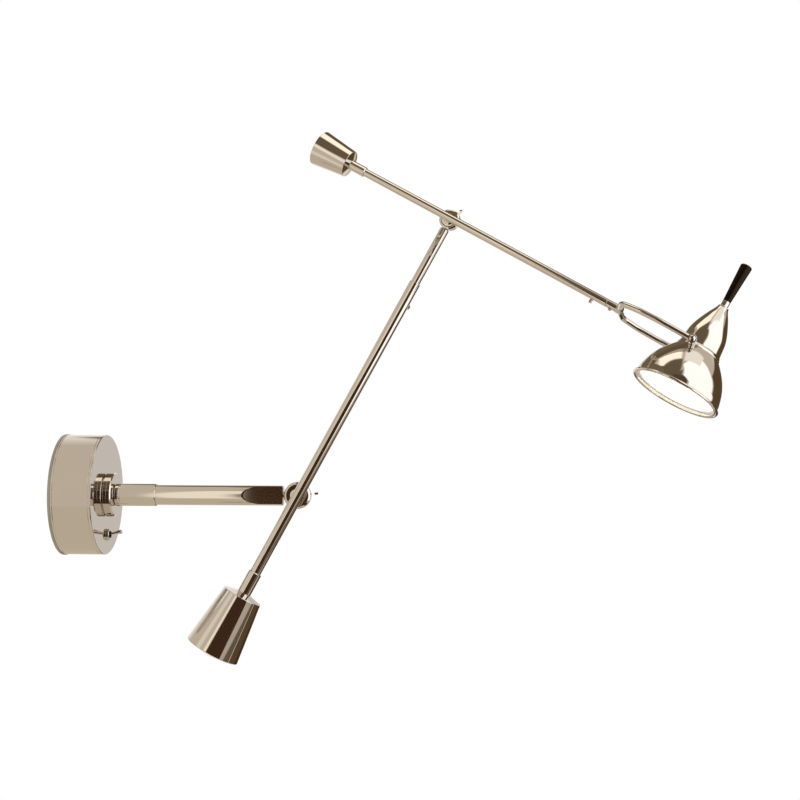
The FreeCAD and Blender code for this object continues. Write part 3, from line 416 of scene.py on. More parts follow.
def carved(piece, cutters, operation="DIFFERENCE"):
    # Cuts the cutters out of a piece, or joins them to it, and removes them.
    for cutter in cutters:
        tool = piece.modifiers.new("carve", "BOOLEAN")
        tool.operation = operation
        tool.solver = "EXACT"
        tool.object = cutter
    makePlain(piece)
    for cutter in cutters:
        blank = cutter.data
        bpy.data.objects.remove(cutter)
        bpy.data.meshes.remove(blank)
    crisp(piece.data)
    return piece


def makePlain(piece):
    # The piece's own mesh, as its modifiers leave it.
    graph = bpy.context.evaluated_depsgraph_get()
    mesh = bpy.data.meshes.new_from_object(piece.evaluated_get(graph))
    piece.modifiers.clear()
    old, piece.data = piece.data, mesh
    mesh.name = piece.name
    bpy.data.meshes.remove(old)


def crisp(mesh):
    # Smooth shading with the edges over the crisp angle kept sharp.
    mesh.polygons.foreach_set("use_smooth", [True] * len(mesh.polygons))
    mesh.set_sharp_from_angle(angle=crispAngle)


def blockCutter(xSpan, ySpan, zSpan, place):
    mesh = bpy.data.meshes.new("cutter")
    corners = [(x, y, z) for x in xSpan for y in ySpan for z in zSpan]
    sides = [(0, 1, 3, 2), (4, 6, 7, 5), (0, 4, 5, 1), (2, 3, 7, 6), (0, 2, 6, 4), (1, 5, 7, 3)]
    mesh.from_pydata(corners, [], sides)
    mesh.transform(place)
    mesh.materials.append(finishes["polished_nickel"])
    turnOutwards(mesh)
    return newObject("cutter", mesh)


def roundCutter(start, end, radius, place, steps=64):
    stops = [(start, 0), (start, radius), (end, radius), (end, 0)]
    return turned("cutter", stops, place, edge=0.0, steps=steps)


def weldedCopy(name, node):
    # A copy of a CAD node's mesh with its triangles joined and its crisp edges kept.
    mesh = frame["nodes"][node].data.copy()
    mesh.name = name
    work = bmesh.new()
    work.from_mesh(mesh)
    bmesh.ops.remove_doubles(work, verts=work.verts, dist=tiny)
    work.to_mesh(mesh)
    work.free()
    crisp(mesh)
    return newObject(name, mesh)


def evenNormals(piece):
    # Lets the large faces set the normals, so that mirrored lines run straight past the small rounded edges.
    modifier = piece.modifiers.new("even", "WEIGHTED_NORMAL")
    modifier.keep_sharp = True
    modifier.weight = 90
    makePlain(piece)


def settle(piece, body, *nodes, slotName="polished_nickel"):
    evenNormals(piece)
    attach(piece, body)
    if nodes:
        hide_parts(*nodes)
    return piece


def move(x=0.0, y=0.0, z=0.0):
    return Matrix.Translation((x, y, z))


def domeStops(start, radius, height):
    # An arc from (start, radius) that closes square on the axis.
    ball = (radius ** 2 + height ** 2) / (2 * height)
    centre = start + height - ball
    half = math.asin(min(1.0, radius / ball)) / 2
    return (centre + ball * math.cos(half), ball * math.sin(half), start + height, 0)


# Wall canopy, hub and toggle
canopy = {"radius": 60.0, "front": 42.5, "back": 2.5, "wall": 1.6, "face": 2.0, "edge": 1.0,
          "bore": 5.05, "edgeMiddle": 0.29, "beadAt": 4.3, "beadHalf": 0.3, "beadDepth": 0.35,
          "seamAt": 39.6, "seamHalf": 0.2, "seamDepth": 0.3, "screwLine": 6.5, "screwHole": 2.05}


def makeCanopy():
    c = canopy
    inner = c["radius"] - c["wall"]
    edge = c["edge"] * c["edgeMiddle"]
    drum = turned("canopyDrum", [
        (c["back"], inner), (c["back"], c["radius"]), (c["beadAt"] - c["beadHalf"], c["radius"]),
        (c["beadAt"], c["radius"] - c["beadDepth"]), (c["beadAt"] + c["beadHalf"], c["radius"]),
        (c["seamAt"] - c["seamHalf"], c["radius"]), (c["seamAt"], c["radius"] - c["seamDepth"]),
        (c["seamAt"] + c["seamHalf"], c["radius"]), (c["front"] - c["edge"], c["radius"]),
        (c["front"] - edge, c["radius"] - edge, c["front"], c["radius"] - c["edge"]),
        (c["front"], c["bore"]), (c["front"] - c["face"], c["bore"]), (c["front"] - c["face"], inner)],
        baseFrame, edge=0.12, steps=192)
    reach = c["radius"] + 10
    upright = baseFrame @ move(x=c["screwLine"]) @ turnUp
    through = roundCutter(-reach, reach, c["screwHole"], upright, steps=32)
    settle(carved(drum, [through]), "wall_base", "canopy")


hub = {"start": 42.5, "radius": 22.0, "thickness": 9.0, "edge": 1.2, "bore": 5.05, "lineHalf": 0.1,
       "lineDepth": 0.07}


def makeHub():
    h = hub
    end = h["start"] + h["thickness"]
    middle = h["start"] + h["thickness"] / 2
    piece = turned("hubDisc", [
        (h["start"], h["bore"]), (h["start"], h["radius"] - h["edge"]), (h["start"] + h["edge"], h["radius"]),
        (middle - h["lineHalf"], h["radius"]), (middle, h["radius"] - h["lineDepth"]),
        (middle + h["lineHalf"], h["radius"]), (end - h["edge"], h["radius"]),
        (end, h["radius"] - h["edge"]), (end, h["bore"])], baseFrame, edge=0.15, steps=192)
    settle(piece, "wall_base", "hub_disc")


toggle = {"drop": 40.0, "nutRadius": 5.85, "nutThickness": 3.0, "nutChamfer": 0.6, "bush": 3.55,
          "length": 15.2, "tip": 2.15, "tipDome": 0.7, "root": 1.0, "ball": 1.9, "rise": 12.0,
          "ballMiddle": 0.71, "throat": (0.62, 0.78), "shankStart": 0.85}


def makeToggle():
    t = toggle
    front = canopy["front"] + t["nutThickness"]
    nut = turned("toggleNut", [
        (canopy["front"], t["bush"]), (canopy["front"], t["nutRadius"]),
        (front - t["nutChamfer"], t["nutRadius"]), (front, t["nutRadius"] - t["nutChamfer"]),
        (front, t["bush"])], baseFrame @ move(z=-t["drop"]), steps=72)
    settle(nut, "wall_base", "switch_nut")
    rise = math.radians(t["rise"])
    along = Vector((math.cos(rise), 0, math.sin(rise)))
    place = localFrame(jointPoint("switch_toggle"), along, yAxis)
    dome = t["tip"] * t["tipDome"]
    shoulder = t["length"] - dome
    ball, (throatAt, throatRadius) = t["ball"], t["throat"]
    bat = turned("toggleBat", [
        (-ball, 0), (-ball * t["ballMiddle"], ball * t["ballMiddle"], 0, ball),
        (ball * throatAt, ball * throatRadius, ball * t["shankStart"], t["root"]), (shoulder, t["tip"]),
        domeStops(shoulder, t["tip"], dome)], place, edge=0.1, steps=48)
    settle(bat, "switch_lever", "switch_lever")


makeCanopy()
makeHub()
makeToggle()
print("canopy, hub and toggle made")

# Bracket bar
bracket = {"start": 51.8, "collar": 11.25, "collarLength": 41.7, "chamfer": 0.8, "inlet": 5.05,
           "socket": 7.05, "socketDepth": 17.0, "seamAt": 5.5, "seam": 0.3, "spigot": 7.0,
           "spigotLength": 15.8, "wireBore": 3.0, "bar": 10.0, "barLength": 127.8, "fillet": 1.4,
           "filletMiddle": 0.3, "flatLength": 41.0, "flatNose": 21.0, "tongue": 4.85, "bore": 3.55,
           "boreDepth": 17.0, "screwHole": 1.5, "screwAt": 65.5}
lowerHinge = {"radius": 13.4, "half": 4.85, "chamfer": 2.2, "bore": 3.05, "tenon": 3.5,
              "tenonDepth": 17.5, "gap": 0.8}
upperHinge = {"radius": 10.2, "half": 4.2, "chamfer": 1.6, "bore": 2.25, "tenon": 2.6,
              "tenonDepth": 12.7}
runOutHeight = 0.89       # half the height of a milled flat's end, as a share of the bar's radius
hingeRim = 0.55           # how steep a hinge disc's chamfer is: its run along the axis over that outwards


def flatCutters(end, length, nose, half, radius, place):
    # Two cutters that mill a bar to a tongue, each with an elliptical run-out.
    cutters = []
    for side in (-1, 1):
        across = sorted((side * half, side * (radius + 1)))
        noseAt = end - length + nose
        cutters.append(blockCutter((noseAt, end + 1), across, (-radius - 1, radius + 1), place))
        oval = Matrix.Scale(nose / radius, 4, (1, 0, 0)) @ Matrix.Scale(runOutHeight, 4, (0, 0, 1))
        runOut = place @ move(x=noseAt) @ oval @ turnAcross
        cutters.append(roundCutter(across[0], across[1], radius, runOut, 96))
    return cutters


def makeBracket():
    b = bracket
    barStart = b["start"] + b["collarLength"]
    barEnd = barStart + b["barLength"]
    seamAt, socketEnd = b["start"] + b["seamAt"], barStart - b["socketDepth"]
    spigotEnd, boreEnd = barStart - b["spigotLength"], barEnd - b["boreDepth"]
    fillet = b["fillet"] * b["filletMiddle"]
    collar = turned("bracketCollar", [
        (b["start"], b["inlet"]), (b["start"], b["collar"] - b["chamfer"]),
        (b["start"] + b["chamfer"], b["collar"]), (seamAt - b["seam"], b["collar"]),
        (seamAt, b["collar"] - b["seam"]), (seamAt + b["seam"], b["collar"]),
        (barStart - b["chamfer"], b["collar"]), (barStart, b["collar"] - b["chamfer"]),
        (barStart, b["socket"]), (socketEnd, b["socket"]), (socketEnd, b["inlet"])], bracketFrame)
    sideways = bracketFrame @ move(x=b["screwAt"]) @ turnAcross
    hole = roundCutter(b["wireBore"], b["collar"] + 2, b["screwHole"], sideways, 24)
    settle(carved(collar, [hole]), "bracket_arm", "bracket_collar")
    bar = turned("bracketBar", [
        (spigotEnd, b["wireBore"]), (spigotEnd, b["spigot"]), (barStart, b["spigot"]), (barStart, b["bar"]),
        (barEnd - b["fillet"], b["bar"]),
        (barEnd - fillet, b["bar"] - fillet, barEnd, b["bar"] - b["fillet"]),
        (barEnd, b["bore"]), (boreEnd, b["bore"]), (boreEnd, b["wireBore"])],
        bracketFrame, edge=0.15, steps=128)
    cutters = flatCutters(barEnd, b["flatLength"], b["flatNose"], b["tongue"], b["bar"], bracketFrame)
    settle(carved(bar, cutters), "bracket_arm", "bracket_bar")


def makeHinge(name, sizes, place, body, node):
    # Chamfered hinge disc across Y, with its tenon back along X.
    h = sizes
    rim = h["chamfer"] * hingeRim
    disc = turned(name, [
        (-h["half"], h["bore"]), (-h["half"], h["radius"] - h["chamfer"]), (-h["half"] + rim, h["radius"]),
        (h["half"] - rim, h["radius"]), (h["half"], h["radius"] - h["chamfer"]), (h["half"], h["bore"])],
        place @ turnAcross, edge=0.3)
    tenon = roundCutter(-h["radius"] - h["tenonDepth"], -h["bore"] - 1, h["tenon"], place, steps=48)
    settle(carved(disc, [tenon], "UNION"), body, node)


barTip = bracket["start"] + bracket["collarLength"] + bracket["barLength"]
knuckleAt = barTip + lowerHinge["gap"] + lowerHinge["radius"]
makeBracket()
makeHinge("lowerHingeDisc", lowerHinge, bracketFrame @ move(x=knuckleAt), "bracket_arm", "lower_hinge_disc")
settle(weldedCopy("lowerWingNut", "lower_wing_nut"), "lower_wing_nut", "lower_wing_nut")
print("bracket made")

# Lower arm and stem
lowerArm = {"tube": 5.55, "bore": 4.65, "tail": 105.8, "end": 240.4, "ferrule": 6.8, "ferruleTop": 84.8,
            "weightTop": 111.0, "weightLength": 61.2, "small": 20.0, "large": 27.8, "rod": 4.6,
            "edge": 0.5}
upperArm = {"tube": 3.95, "bore": 3.05, "tail": 111.0, "end": 180.4, "ferrule": 5.0, "ferruleTop": 98.2,
            "weightTop": 117.6, "weightLength": 36.4, "small": 13.6, "large": 17.95, "rod": 3.0,
            "edge": 0.4}
ferruleEdge = {"nose": 0.8, "foot": 0.25}
coneSlope = 0.24          # of the counterweights' ends
pocketDepth = 20          # of the rod's hole in a counterweight


def makeArm(name, sizes, place, body):
    # Tube, ferrule and counterweight of one arm.
    a, e = sizes, ferruleEdge
    title = name.lower()
    tubeHole, rodHole = a["tube"] + slip, a["rod"] + slip
    tube = turned(name + "Tube", [(-a["tail"], a["bore"]), (-a["tail"], a["tube"]), (a["end"], a["tube"]),
                                  (a["end"], a["bore"])], place, edge=0.3, steps=72)
    settle(tube, body, title + "_tube")
    nearCone = a["small"] * coneSlope
    meet = a["weightTop"] - nearCone * (1 - a["ferrule"] / a["small"])
    ferrule = turned(name + "Ferrule", [
        (-a["ferruleTop"], tubeHole), (-a["ferruleTop"], a["ferrule"] - e["nose"]),
        (-a["ferruleTop"] - e["nose"], a["ferrule"]), (-meet + e["foot"], a["ferrule"]),
        (-meet, a["ferrule"] - e["foot"]), (-meet, rodHole), (-a["tail"], rodHole), (-a["tail"], tubeHole)],
        place, edge=0.2, steps=72)
    settle(ferrule, body, title + "_ferrule")
    end, pocket = a["weightTop"] + a["weightLength"], a["weightTop"] + pocketDepth
    weight = turned(name + "Counterweight", [
        (-meet, rodHole), (-meet, a["ferrule"]), (-a["weightTop"], a["small"]), (-end, a["large"]),
        (-end - a["large"] * coneSlope, 0), (-pocket, 0), (-pocket, rodHole)],
        place, edge=a["edge"], steps=160)
    settle(weight, body, title + "_counterweight")


stemScrew = {"tip": 3.9, "radius": 1.5, "head": 2.6, "height": 1.8, "at": 216.0}
sleeveScrew = {"tip": 2.2, "radius": 1.2, "head": 1.9, "height": 1.8}
# In shares of the head's height or radius, apart from the skirt
screwHead = {"skirt": 0.7, "rim": 0.4, "slotDepth": 0.45, "slotHalf": 0.14, "slotReach": 1.2}


def slottedScrew(name, sizes, seat, place, body, node):
    # Domed guide screw along X with a driver's slot.
    s, h = sizes, screwHead
    skirt, shoulder, top = seat - h["skirt"], seat + s["height"] * h["rim"], seat + s["height"]
    screw = turned(name, [
        (s["tip"], 0), (s["tip"], s["radius"]), (skirt, s["radius"]), (skirt, s["head"]),
        (shoulder, s["head"]), domeStops(shoulder, s["head"], top - shoulder)], place, edge=0.12, steps=40)
    slotHalf, slotReach = s["head"] * h["slotHalf"], s["head"] * h["slotReach"]
    slotCut = blockCutter((top - s["height"] * h["slotDepth"], top + 1), (-slotHalf, slotHalf),
                          (-slotReach, slotReach), place)
    settle(carved(screw, [slotCut]), body, node)


stem = {"radius": 4.6, "foot": 200.0, "bore": 2.2, "chamfer": 0.8, "elbow": 311.7, "flatLength": 31.0,
        "flatNose": 9.0, "tenonBore": 2.65, "tenonDepth": 13.0, "tongue": 4.2, "grooveHalf": 1.8,
        "groove": 1.0}


def makeStem():
    s = stem
    end = s["elbow"] - upperHinge["radius"]
    groove = stemScrew["at"]
    grooveStart, grooveEnd = groove - s["grooveHalf"], groove + s["grooveHalf"]
    rod = turned("stemRod", [
        (s["foot"], s["bore"]), (s["foot"], s["radius"]), (grooveStart, s["radius"]),
        (grooveStart, s["radius"] - s["groove"]), (grooveEnd, s["radius"] - s["groove"]),
        (grooveEnd, s["radius"]), (end - s["chamfer"], s["radius"]),
        (end, s["radius"] - s["chamfer"]), (end, s["tenonBore"]), (end - s["tenonDepth"], s["tenonBore"]),
        (end - s["tenonDepth"], s["bore"])], stemFrame, edge=0.15, steps=80)
    cutters = flatCutters(end, s["flatLength"], s["flatNose"], s["tongue"], s["radius"], stemFrame)
    settle(carved(rod, cutters), "stem", "stem_rod")


makeArm("Lower", lowerArm, lowerFrame, "lower_arm")
settle(weldedCopy("lowerPivotStud", "lower_pivot_stud"), "lower_arm", "lower_pivot_stud")
slottedScrew("stemScrew", stemScrew, lowerArm["tube"], lowerFrame @ move(x=stemScrew["at"]) @ turnDown,
             "lower_arm", "stem_screw")
makeStem()
makeHinge("upperHingeDisc", upperHinge, stemFrame @ move(x=stem["elbow"]), "stem", "upper_hinge_disc")
settle(weldedCopy("upperWingNut", "upper_wing_nut"), "upper_wing_nut", "upper_wing_nut")
print("lower arm and stem made")

# Upper arm and fork
fork = {"sleeveStart": 180.7, "sleeveLength": 10.3, "sleeveBore": 3.05, "prong": 2.8, "hub": 4.3,
        "hubLength": 6.0, "hubDome": 1.2, "reach": 80.5, "pivotHalf": 28.5, "bowHalf": 30.0,
        "shoulderHalf": 21.5, "shoulderOut": 6.0, "shoulderEnd": 24.0, "bowOut": 47.0, "bowLead": 2.0,
        "bends": (9.0, 30.0, 60.0), "eye": 4.3, "eyeHalf": 2.1, "pin": 1.55}


def roundedPath(corners, radii, steps=14):
    # Points of straight runs joined by tangent arcs.
    points = [corners[0]]
    for before, corner, after, radius in zip(corners, corners[1:], corners[2:], radii):
        inward, outward = (before - corner).normalized(), (after - corner).normalized()
        half = inward.angle(outward) / 2
        reach = radius / math.tan(half)
        start, end = corner + inward * reach, corner + outward * reach
        centre = corner + (inward + outward).normalized() * (radius / math.sin(half))
        first, last = start - centre, end - centre
        sweep = first.angle(last)
        side = (last - first * math.cos(2 * (math.pi / 2 - half))).normalized()
        for step in range(steps + 1):
            turn = sweep * step / steps
            spoke = first * math.cos(turn) + side * radius * math.sin(turn)
            points.append(centre + spoke)
    return points + [corners[-1]]


def makeFork():
    f = fork
    start = f["sleeveStart"] + f["sleeveLength"]
    tiltAt = start + f["reach"]
    eyePlace = forkFrame @ move(x=tiltAt) @ turnAcross
    eyeNear, eyeFar = f["pivotHalf"] - f["eyeHalf"], f["pivotHalf"] + f["eyeHalf"]
    yoke = turned("forkYoke", [
        (start, 0), (start, f["hub"]), (start + f["hubLength"], f["hub"]),
        domeStops(start + f["hubLength"], f["hub"], f["hubDome"])], forkFrame, edge=0.4, steps=64)
    parts = []
    for side in (-1, 1):
        route = [Vector((start + f["hubLength"] / 2, 0, 0)),
                 Vector((start + f["shoulderOut"], side * f["shoulderHalf"], 0)),
                 Vector((start + f["shoulderEnd"], side * (f["bowHalf"] - f["bowLead"]), 0)),
                 Vector((start + f["bowOut"], side * f["bowHalf"], 0)),
                 Vector((tiltAt, side * f["pivotHalf"], 0))]
        points = roundedPath(route, f["bends"])
        edges = [(k, k + 1) for k in range(len(points) - 1)]
        prong = runTree("prong", [tuple(p) for p in points], edges, rodTree, "polished_nickel",
                        {"Rod Radius": f["prong"], "Steps": 48})
        prong.data.transform(forkFrame)
        eye = turned("eye", [
            (side * f["pivotHalf"] - f["eyeHalf"], 0), (side * f["pivotHalf"] - f["eyeHalf"], f["eye"]),
            (side * f["pivotHalf"] + f["eyeHalf"], f["eye"]), (side * f["pivotHalf"] + f["eyeHalf"], 0)],
            eyePlace, edge=0.5, steps=64)
        parts += [prong, eye]
    carved(yoke, parts, "UNION")
    trims = []
    for side in (-1, 1):
        for near, far in ((eyeNear - f["prong"], eyeNear), (eyeFar, eyeFar + f["prong"])):
            span = sorted((side * near, side * far))
            trims.append(roundCutter(span[0], span[1], f["eye"] + slip, eyePlace))
    trims.append(roundCutter(-2 * f["bowHalf"], 2 * f["bowHalf"], f["pin"], eyePlace, 32))
    settle(carved(yoke, trims), "fork", "fork_yoke")
    sleeve = turned("forkSleeve", [
        (f["sleeveStart"], f["sleeveBore"]), (f["sleeveStart"], upperArm["tube"]), (start, upperArm["tube"]),
        (start, f["sleeveBore"])], forkFrame, edge=0.3, steps=72)
    settle(sleeve, "fork", "fork_sleeve")
    middle = f["sleeveStart"] + f["sleeveLength"] / 2
    slottedScrew("sleeveScrew", sleeveScrew, upperArm["tube"], forkFrame @ move(x=middle) @ turnDown,
                 "fork", "sleeve_screw")


forkScrew = {"at": 166.0, "tip": 2.5, "radius": 1.5, "chamfer": 0.4, "top": 7.95}


def makeForkScrew():
    f = forkScrew
    screw = turned("forkScrew", [
        (f["tip"], 0), (f["tip"], f["radius"]), (f["top"] - f["chamfer"], f["radius"]),
        (f["top"], f["radius"] - f["chamfer"]), (f["top"], 0)],
        upperFrame @ move(x=f["at"]) @ turnDown, edge=0.2, steps=40)
    settle(screw, "upper_arm", "fork_screw")


makeArm("Upper", upperArm, upperFrame, "upper_arm")
settle(weldedCopy("upperPivotStud", "upper_pivot_stud"), "upper_arm", "upper_pivot_stud")
makeForkScrew()
makeFork()
print("upper arm and fork made")

# Shade head
shade = {"rim": 41.2, "skirt": 7.2, "top": 44.0, "topRadius": 21.8, "wall": 1.2,
         "flank": ((0.434, 0.923), (0.63, 0.826), (0.78, 0.722)), "bead": 1.5, "beadRing": 42.2,
         "beadRise": 0.6}
housing = {"foot": 47.6, "footRadius": 20.2, "top": 94.0, "topRadius": 5.4, "wall": 1.4,
           "flank": ((0.151, 0.965), (0.336, 0.916), (0.463, 0.837), (0.588, 0.728), (0.754, 0.554),
                     (0.836, 0.46), (0.942, 0.327))}
headAxis = headFrame @ turnUp


def throughPoints(points, perSpan=8):
    # A natural cubic curve through the points, as its own points.
    count = len(points)
    lengths = [0.0]
    for first, second in zip(points, points[1:]):
        lengths.append(lengths[-1] + (second - first).length)
    curved = []
    for axis in (0, 1):
        values = [p[axis] for p in points]
        upper, slopes = [0.0] * count, [0.0] * count
        for k in range(1, count - 1):
            before, after = lengths[k] - lengths[k - 1], lengths[k + 1] - lengths[k]
            pull = 6 * ((values[k + 1] - values[k]) / after - (values[k] - values[k - 1]) / before)
            scale = 2 * (before + after) - before * upper[k - 1]
            upper[k] = after / scale
            slopes[k] = (pull - before * slopes[k - 1]) / scale
        bends = [0.0] * count
        for k in range(count - 2, 0, -1):
            bends[k] = slopes[k] - upper[k] * bends[k + 1]
        curved.append((values, bends))
    result = []
    for k in range(count - 1):
        span = lengths[k + 1] - lengths[k]
        for step in range(perSpan if k < count - 2 else perSpan + 1):
            t = step / perSpan
            point = []
            for values, bends in curved:
                point.append((1 - t) * values[k] + t * values[k + 1]
                             - span * span / 6 * t * (1 - t) * ((2 - t) * bends[k] + (1 + t) * bends[k + 1]))
            result.append(Vector(point))
    return result


def shellStops(outer, wall):
    # Outline of a shell: the outer curve, then the same curve a wall inside it, backwards.
    inner = []
    for k, point in enumerate(outer):
        along = (outer[min(k + 1, len(outer) - 1)] - outer[max(k - 1, 0)]).normalized()
        inner.append(point + Vector((along.y, -along.x)) * wall)
    return [tuple(p) for p in outer + inner[::-1]]


def makeShade():
    s = shade
    points = [Vector((s["skirt"], s["rim"]))]
    points += [Vector((s["top"] * up, s["rim"] * wide)) for up, wide in s["flank"]]
    points.append(Vector((s["top"], s["topRadius"])))
    skirt = [Vector((s["skirt"] * k / 4, s["rim"])) for k in range(4)]
    outer = skirt + throughPoints(points)
    dome = turned("shadeDome", shellStops(outer, s["wall"]), headAxis, edge=0.15, steps=192)
    settle(dome, "head", "shade")
    middle = s["bead"] * s["beadRise"]
    reach = math.sqrt(s["bead"] ** 2 - (s["beadRing"] - s["rim"]) ** 2)
    rolled = turned("shadeBead", [
        (middle - reach, s["rim"]), (middle, s["beadRing"] + s["bead"], middle + reach, s["rim"])],
        headAxis, edge=0.05, steps=192)
    settle(rolled, "head", "shade_bead")


def makeHousing():
    h = housing
    rise = h["top"] - h["foot"]
    points = [Vector((h["foot"], h["footRadius"]))]
    points += [Vector((h["foot"] + rise * up, h["footRadius"] * wide)) for up, wide in h["flank"]]
    points.append(Vector((h["top"], h["topRadius"])))
    shell = turned("socketHousing", shellStops(throughPoints(points), h["wall"]), headAxis,
                   edge=0.15, steps=144)
    settle(shell, "head", "socket_housing")


neck = {"radius": 3.75, "length": 7.1, "step": 1.0, "stepEnd": 1.6, "bore": 1.5, "spigot": 3.7,
        "spigotLength": 5.0, "stud": 2.15, "studShort": 0.3}
handle = {"length": 40.2, "root": 3.8, "rootEdge": 0.5, "tip": 5.7, "tipEdge": 0.25, "edgeMiddle": 0.3,
          "bore": 2.2, "boreDepth": 15.0}


def makeHandle():
    n, h = neck, handle
    top, neckEnd = housing["top"], housing["top"] + n["length"]
    studEnd = neckEnd + h["boreDepth"] - n["studShort"]
    collar = turned("handleNeck", [
        (top - n["spigotLength"], n["bore"]), (top - n["spigotLength"], n["spigot"]), (top, n["spigot"]),
        (top, housing["topRadius"]), (top + n["step"], housing["topRadius"]),
        (top + n["stepEnd"], n["radius"]), (neckEnd, n["radius"]), (neckEnd, n["stud"]), (studEnd, n["stud"]),
        (studEnd, n["bore"])], headAxis, edge=0.2, steps=64)
    settle(collar, "head", "handle_neck")
    end = neckEnd + h["length"]
    edge = h["tip"] * h["tipEdge"]
    middle = edge * h["edgeMiddle"]
    grip = turned("handleGrip", [
        (neckEnd, h["bore"]), (neckEnd, h["root"] - h["rootEdge"]), (neckEnd + h["rootEdge"], h["root"]),
        (end - edge, h["tip"]), (end - middle, h["tip"] - middle, end, h["tip"] - edge), (end, 0),
        (neckEnd + h["boreDepth"], 0),
        (neckEnd + h["boreDepth"], h["bore"])], headAxis, "black_handle", edge=0.2, steps=80)
    settle(grip, "head", "handle", slotName="black_handle")


reflector = {"mouth": 4.0, "rim": 38.2, "top": 14.2, "gaps": (2.6, 2.9, 3.2), "wall": 0.8}
bulb = {"tip": 22.0, "radius": 9.0, "shoulder": 43.0, "taper": 4.0, "base": 6.0, "capStart": 45.0,
        "baseEnd": 64.3}


def makeLight():
    r, s, b = reflector, shade, bulb
    points = [Vector((r["mouth"], r["rim"]))]
    for (up, wide), gap in zip(s["flank"], r["gaps"]):
        points.append(Vector((s["top"] * up, s["rim"] * wide - gap)))
    points.append(Vector((s["top"], r["top"])))
    bowlStops = shellStops(throughPoints(points), r["wall"])
    lipStart, lipEnd = r["mouth"] - r["wall"], r["mouth"] + r["wall"] * 0.5
    lipRadius = s["rim"] - s["wall"] - slip
    lip = [(lipStart, lipRadius), (lipEnd, lipRadius), (lipEnd, r["rim"])]
    shell = lip + bowlStops[1:-1] + [(lipStart, r["rim"] - r["wall"])]
    bowl = turned("innerReflector", shell, headAxis, "white_enamel", edge=0.2, steps=160)
    settle(bowl, "head", "inner_reflector", slotName="white_enamel")
    octant = math.sqrt(0.5)
    glass = turned("bulbGlass", [
        (b["tip"], 0), (b["tip"] + b["radius"] * (1 - octant), b["radius"] * octant, b["tip"] + b["radius"],
                        b["radius"]),
        (b["shoulder"] - b["taper"], b["radius"]), (b["shoulder"], b["base"]), (b["capStart"], b["base"]),
        (b["capStart"], 0)], headAxis, "bulb_glass", edge=0.8, steps=64)
    settle(glass, "head", "bulb", slotName="bulb_glass")
    cap = turned("bulbCap", [(b["capStart"], 0), (b["capStart"], b["base"]), (b["baseEnd"], b["base"]),
                             (b["baseEnd"], 0)], headAxis, "steel", edge=0.4, steps=48)
    settle(cap, "head", slotName="steel")


tiltScrew = {"tip": 18.5, "radius": 1.5, "head": 3.0, "height": 1.6, "slotHalf": 0.4, "slotDepth": 0.7}


def makeTiltScrews():
    t = tiltScrew
    seat = fork["pivotHalf"] + fork["eyeHalf"] + slip
    shoulder, top = seat + t["height"] * screwHead["rim"], seat + t["height"]
    pivot = headFrame @ move(x=-arms["pivotSetOff"], z=arms["pivotHeight"])
    for side, label in ((-1, "Near"), (1, "Far")):
        place = pivot @ Matrix.Rotation(math.radians(90 * side), 4, "Z")
        screw = turned("tiltScrew" + label, [
            (t["tip"], 0), (t["tip"], t["radius"]), (seat, t["radius"]), (seat, t["head"]),
            (shoulder, t["head"]), domeStops(shoulder, t["head"], top - shoulder)],
            place, edge=0.15, steps=48)
        slotCut = blockCutter((top - t["slotDepth"], top + 1), (-t["slotHalf"], t["slotHalf"]),
                              (-t["head"] - 1, t["head"] + 1), place)
        settle(carved(screw, [slotCut]), "head", *(["tilt_screws"] if side < 0 else []))


makeShade()
makeHousing()
makeHandle()
makeLight()
makeTiltScrews()
settle(weldedCopy("pivotCollar", "pivot_collar"), "head", "pivot_collar")
print("shade head made")


# Studio: pale floor and backdrop, soft lights, and the cards that the metal mirrors
mirrorGain = 1.42      # a card glows this much brighter than the colour that shows in the nickel


def cardFinish(name, hexText, width, height, soft):
    # Emission that fades out over the card's last stretch, soft metres wide.
    material, tree = emptyMaterial(name)
    place = addNode(tree, "ShaderNodeTexCoord").outputs["Object"]
    parts = addNode(tree, "ShaderNodeSeparateXYZ", links={0: place})
    fades = []
    for axis, size in (("X", width), ("Y", height)):
        away = mathNode(tree, "ABSOLUTE", parts.outputs[axis])
        fades.append(mathNode(tree, "DIVIDE", mathNode(tree, "SUBTRACT", size / 2, away), soft))
    solid = addNode(tree, "ShaderNodeMapRange", {"interpolation_type": "SMOOTHSTEP"},
                    {"Value": mathNode(tree, "MINIMUM", fades[0], fades[1])})
    clear = addNode(tree, "ShaderNodeBsdfTransparent")
    glow = addNode(tree, "ShaderNodeEmission", {"Color": linearColor(hexText), "Strength": mirrorGain})
    mix = addNode(tree, "ShaderNodeMixShader", links={0: solid.outputs[0], 1: clear.outputs[0],
                                                      2: glow.outputs[0]})
    addNode(tree, "ShaderNodeOutputMaterial", links={"Surface": mix.outputs[0]})
    material.cycles.emission_sampling = "NONE"
    return material


def flatMesh(name, width, height, level=0.0):
    mesh = bpy.data.meshes.new(name)
    w, h = width / 2, height / 2
    mesh.from_pydata([(-w, -h, level), (w, -h, level), (w, h, level), (-w, h, level)], [], [(0, 1, 2, 3)])
    return mesh


def onlyMirrored(obj):
    obj.visible_camera = False
    obj.visible_diffuse = False
    obj.visible_shadow = False
    obj.visible_transmission = False


def addCard(name, centre, normal, width, height, hexText, soft):
    # A studio card that only mirrors see, facing along its normal.
    mesh = flatMesh(name, width, height)
    mesh.materials.append(cardFinish(name, hexText, width, height, soft))
    card = newObject(name, mesh)
    facing = Vector(normal).to_track_quat("Z", "Y").to_matrix().to_4x4()
    card.matrix_world = Matrix.Translation(centre) @ facing
    onlyMirrored(card)


rightwards = (-0.794, 0.607, 0)       # the way that the right cards face
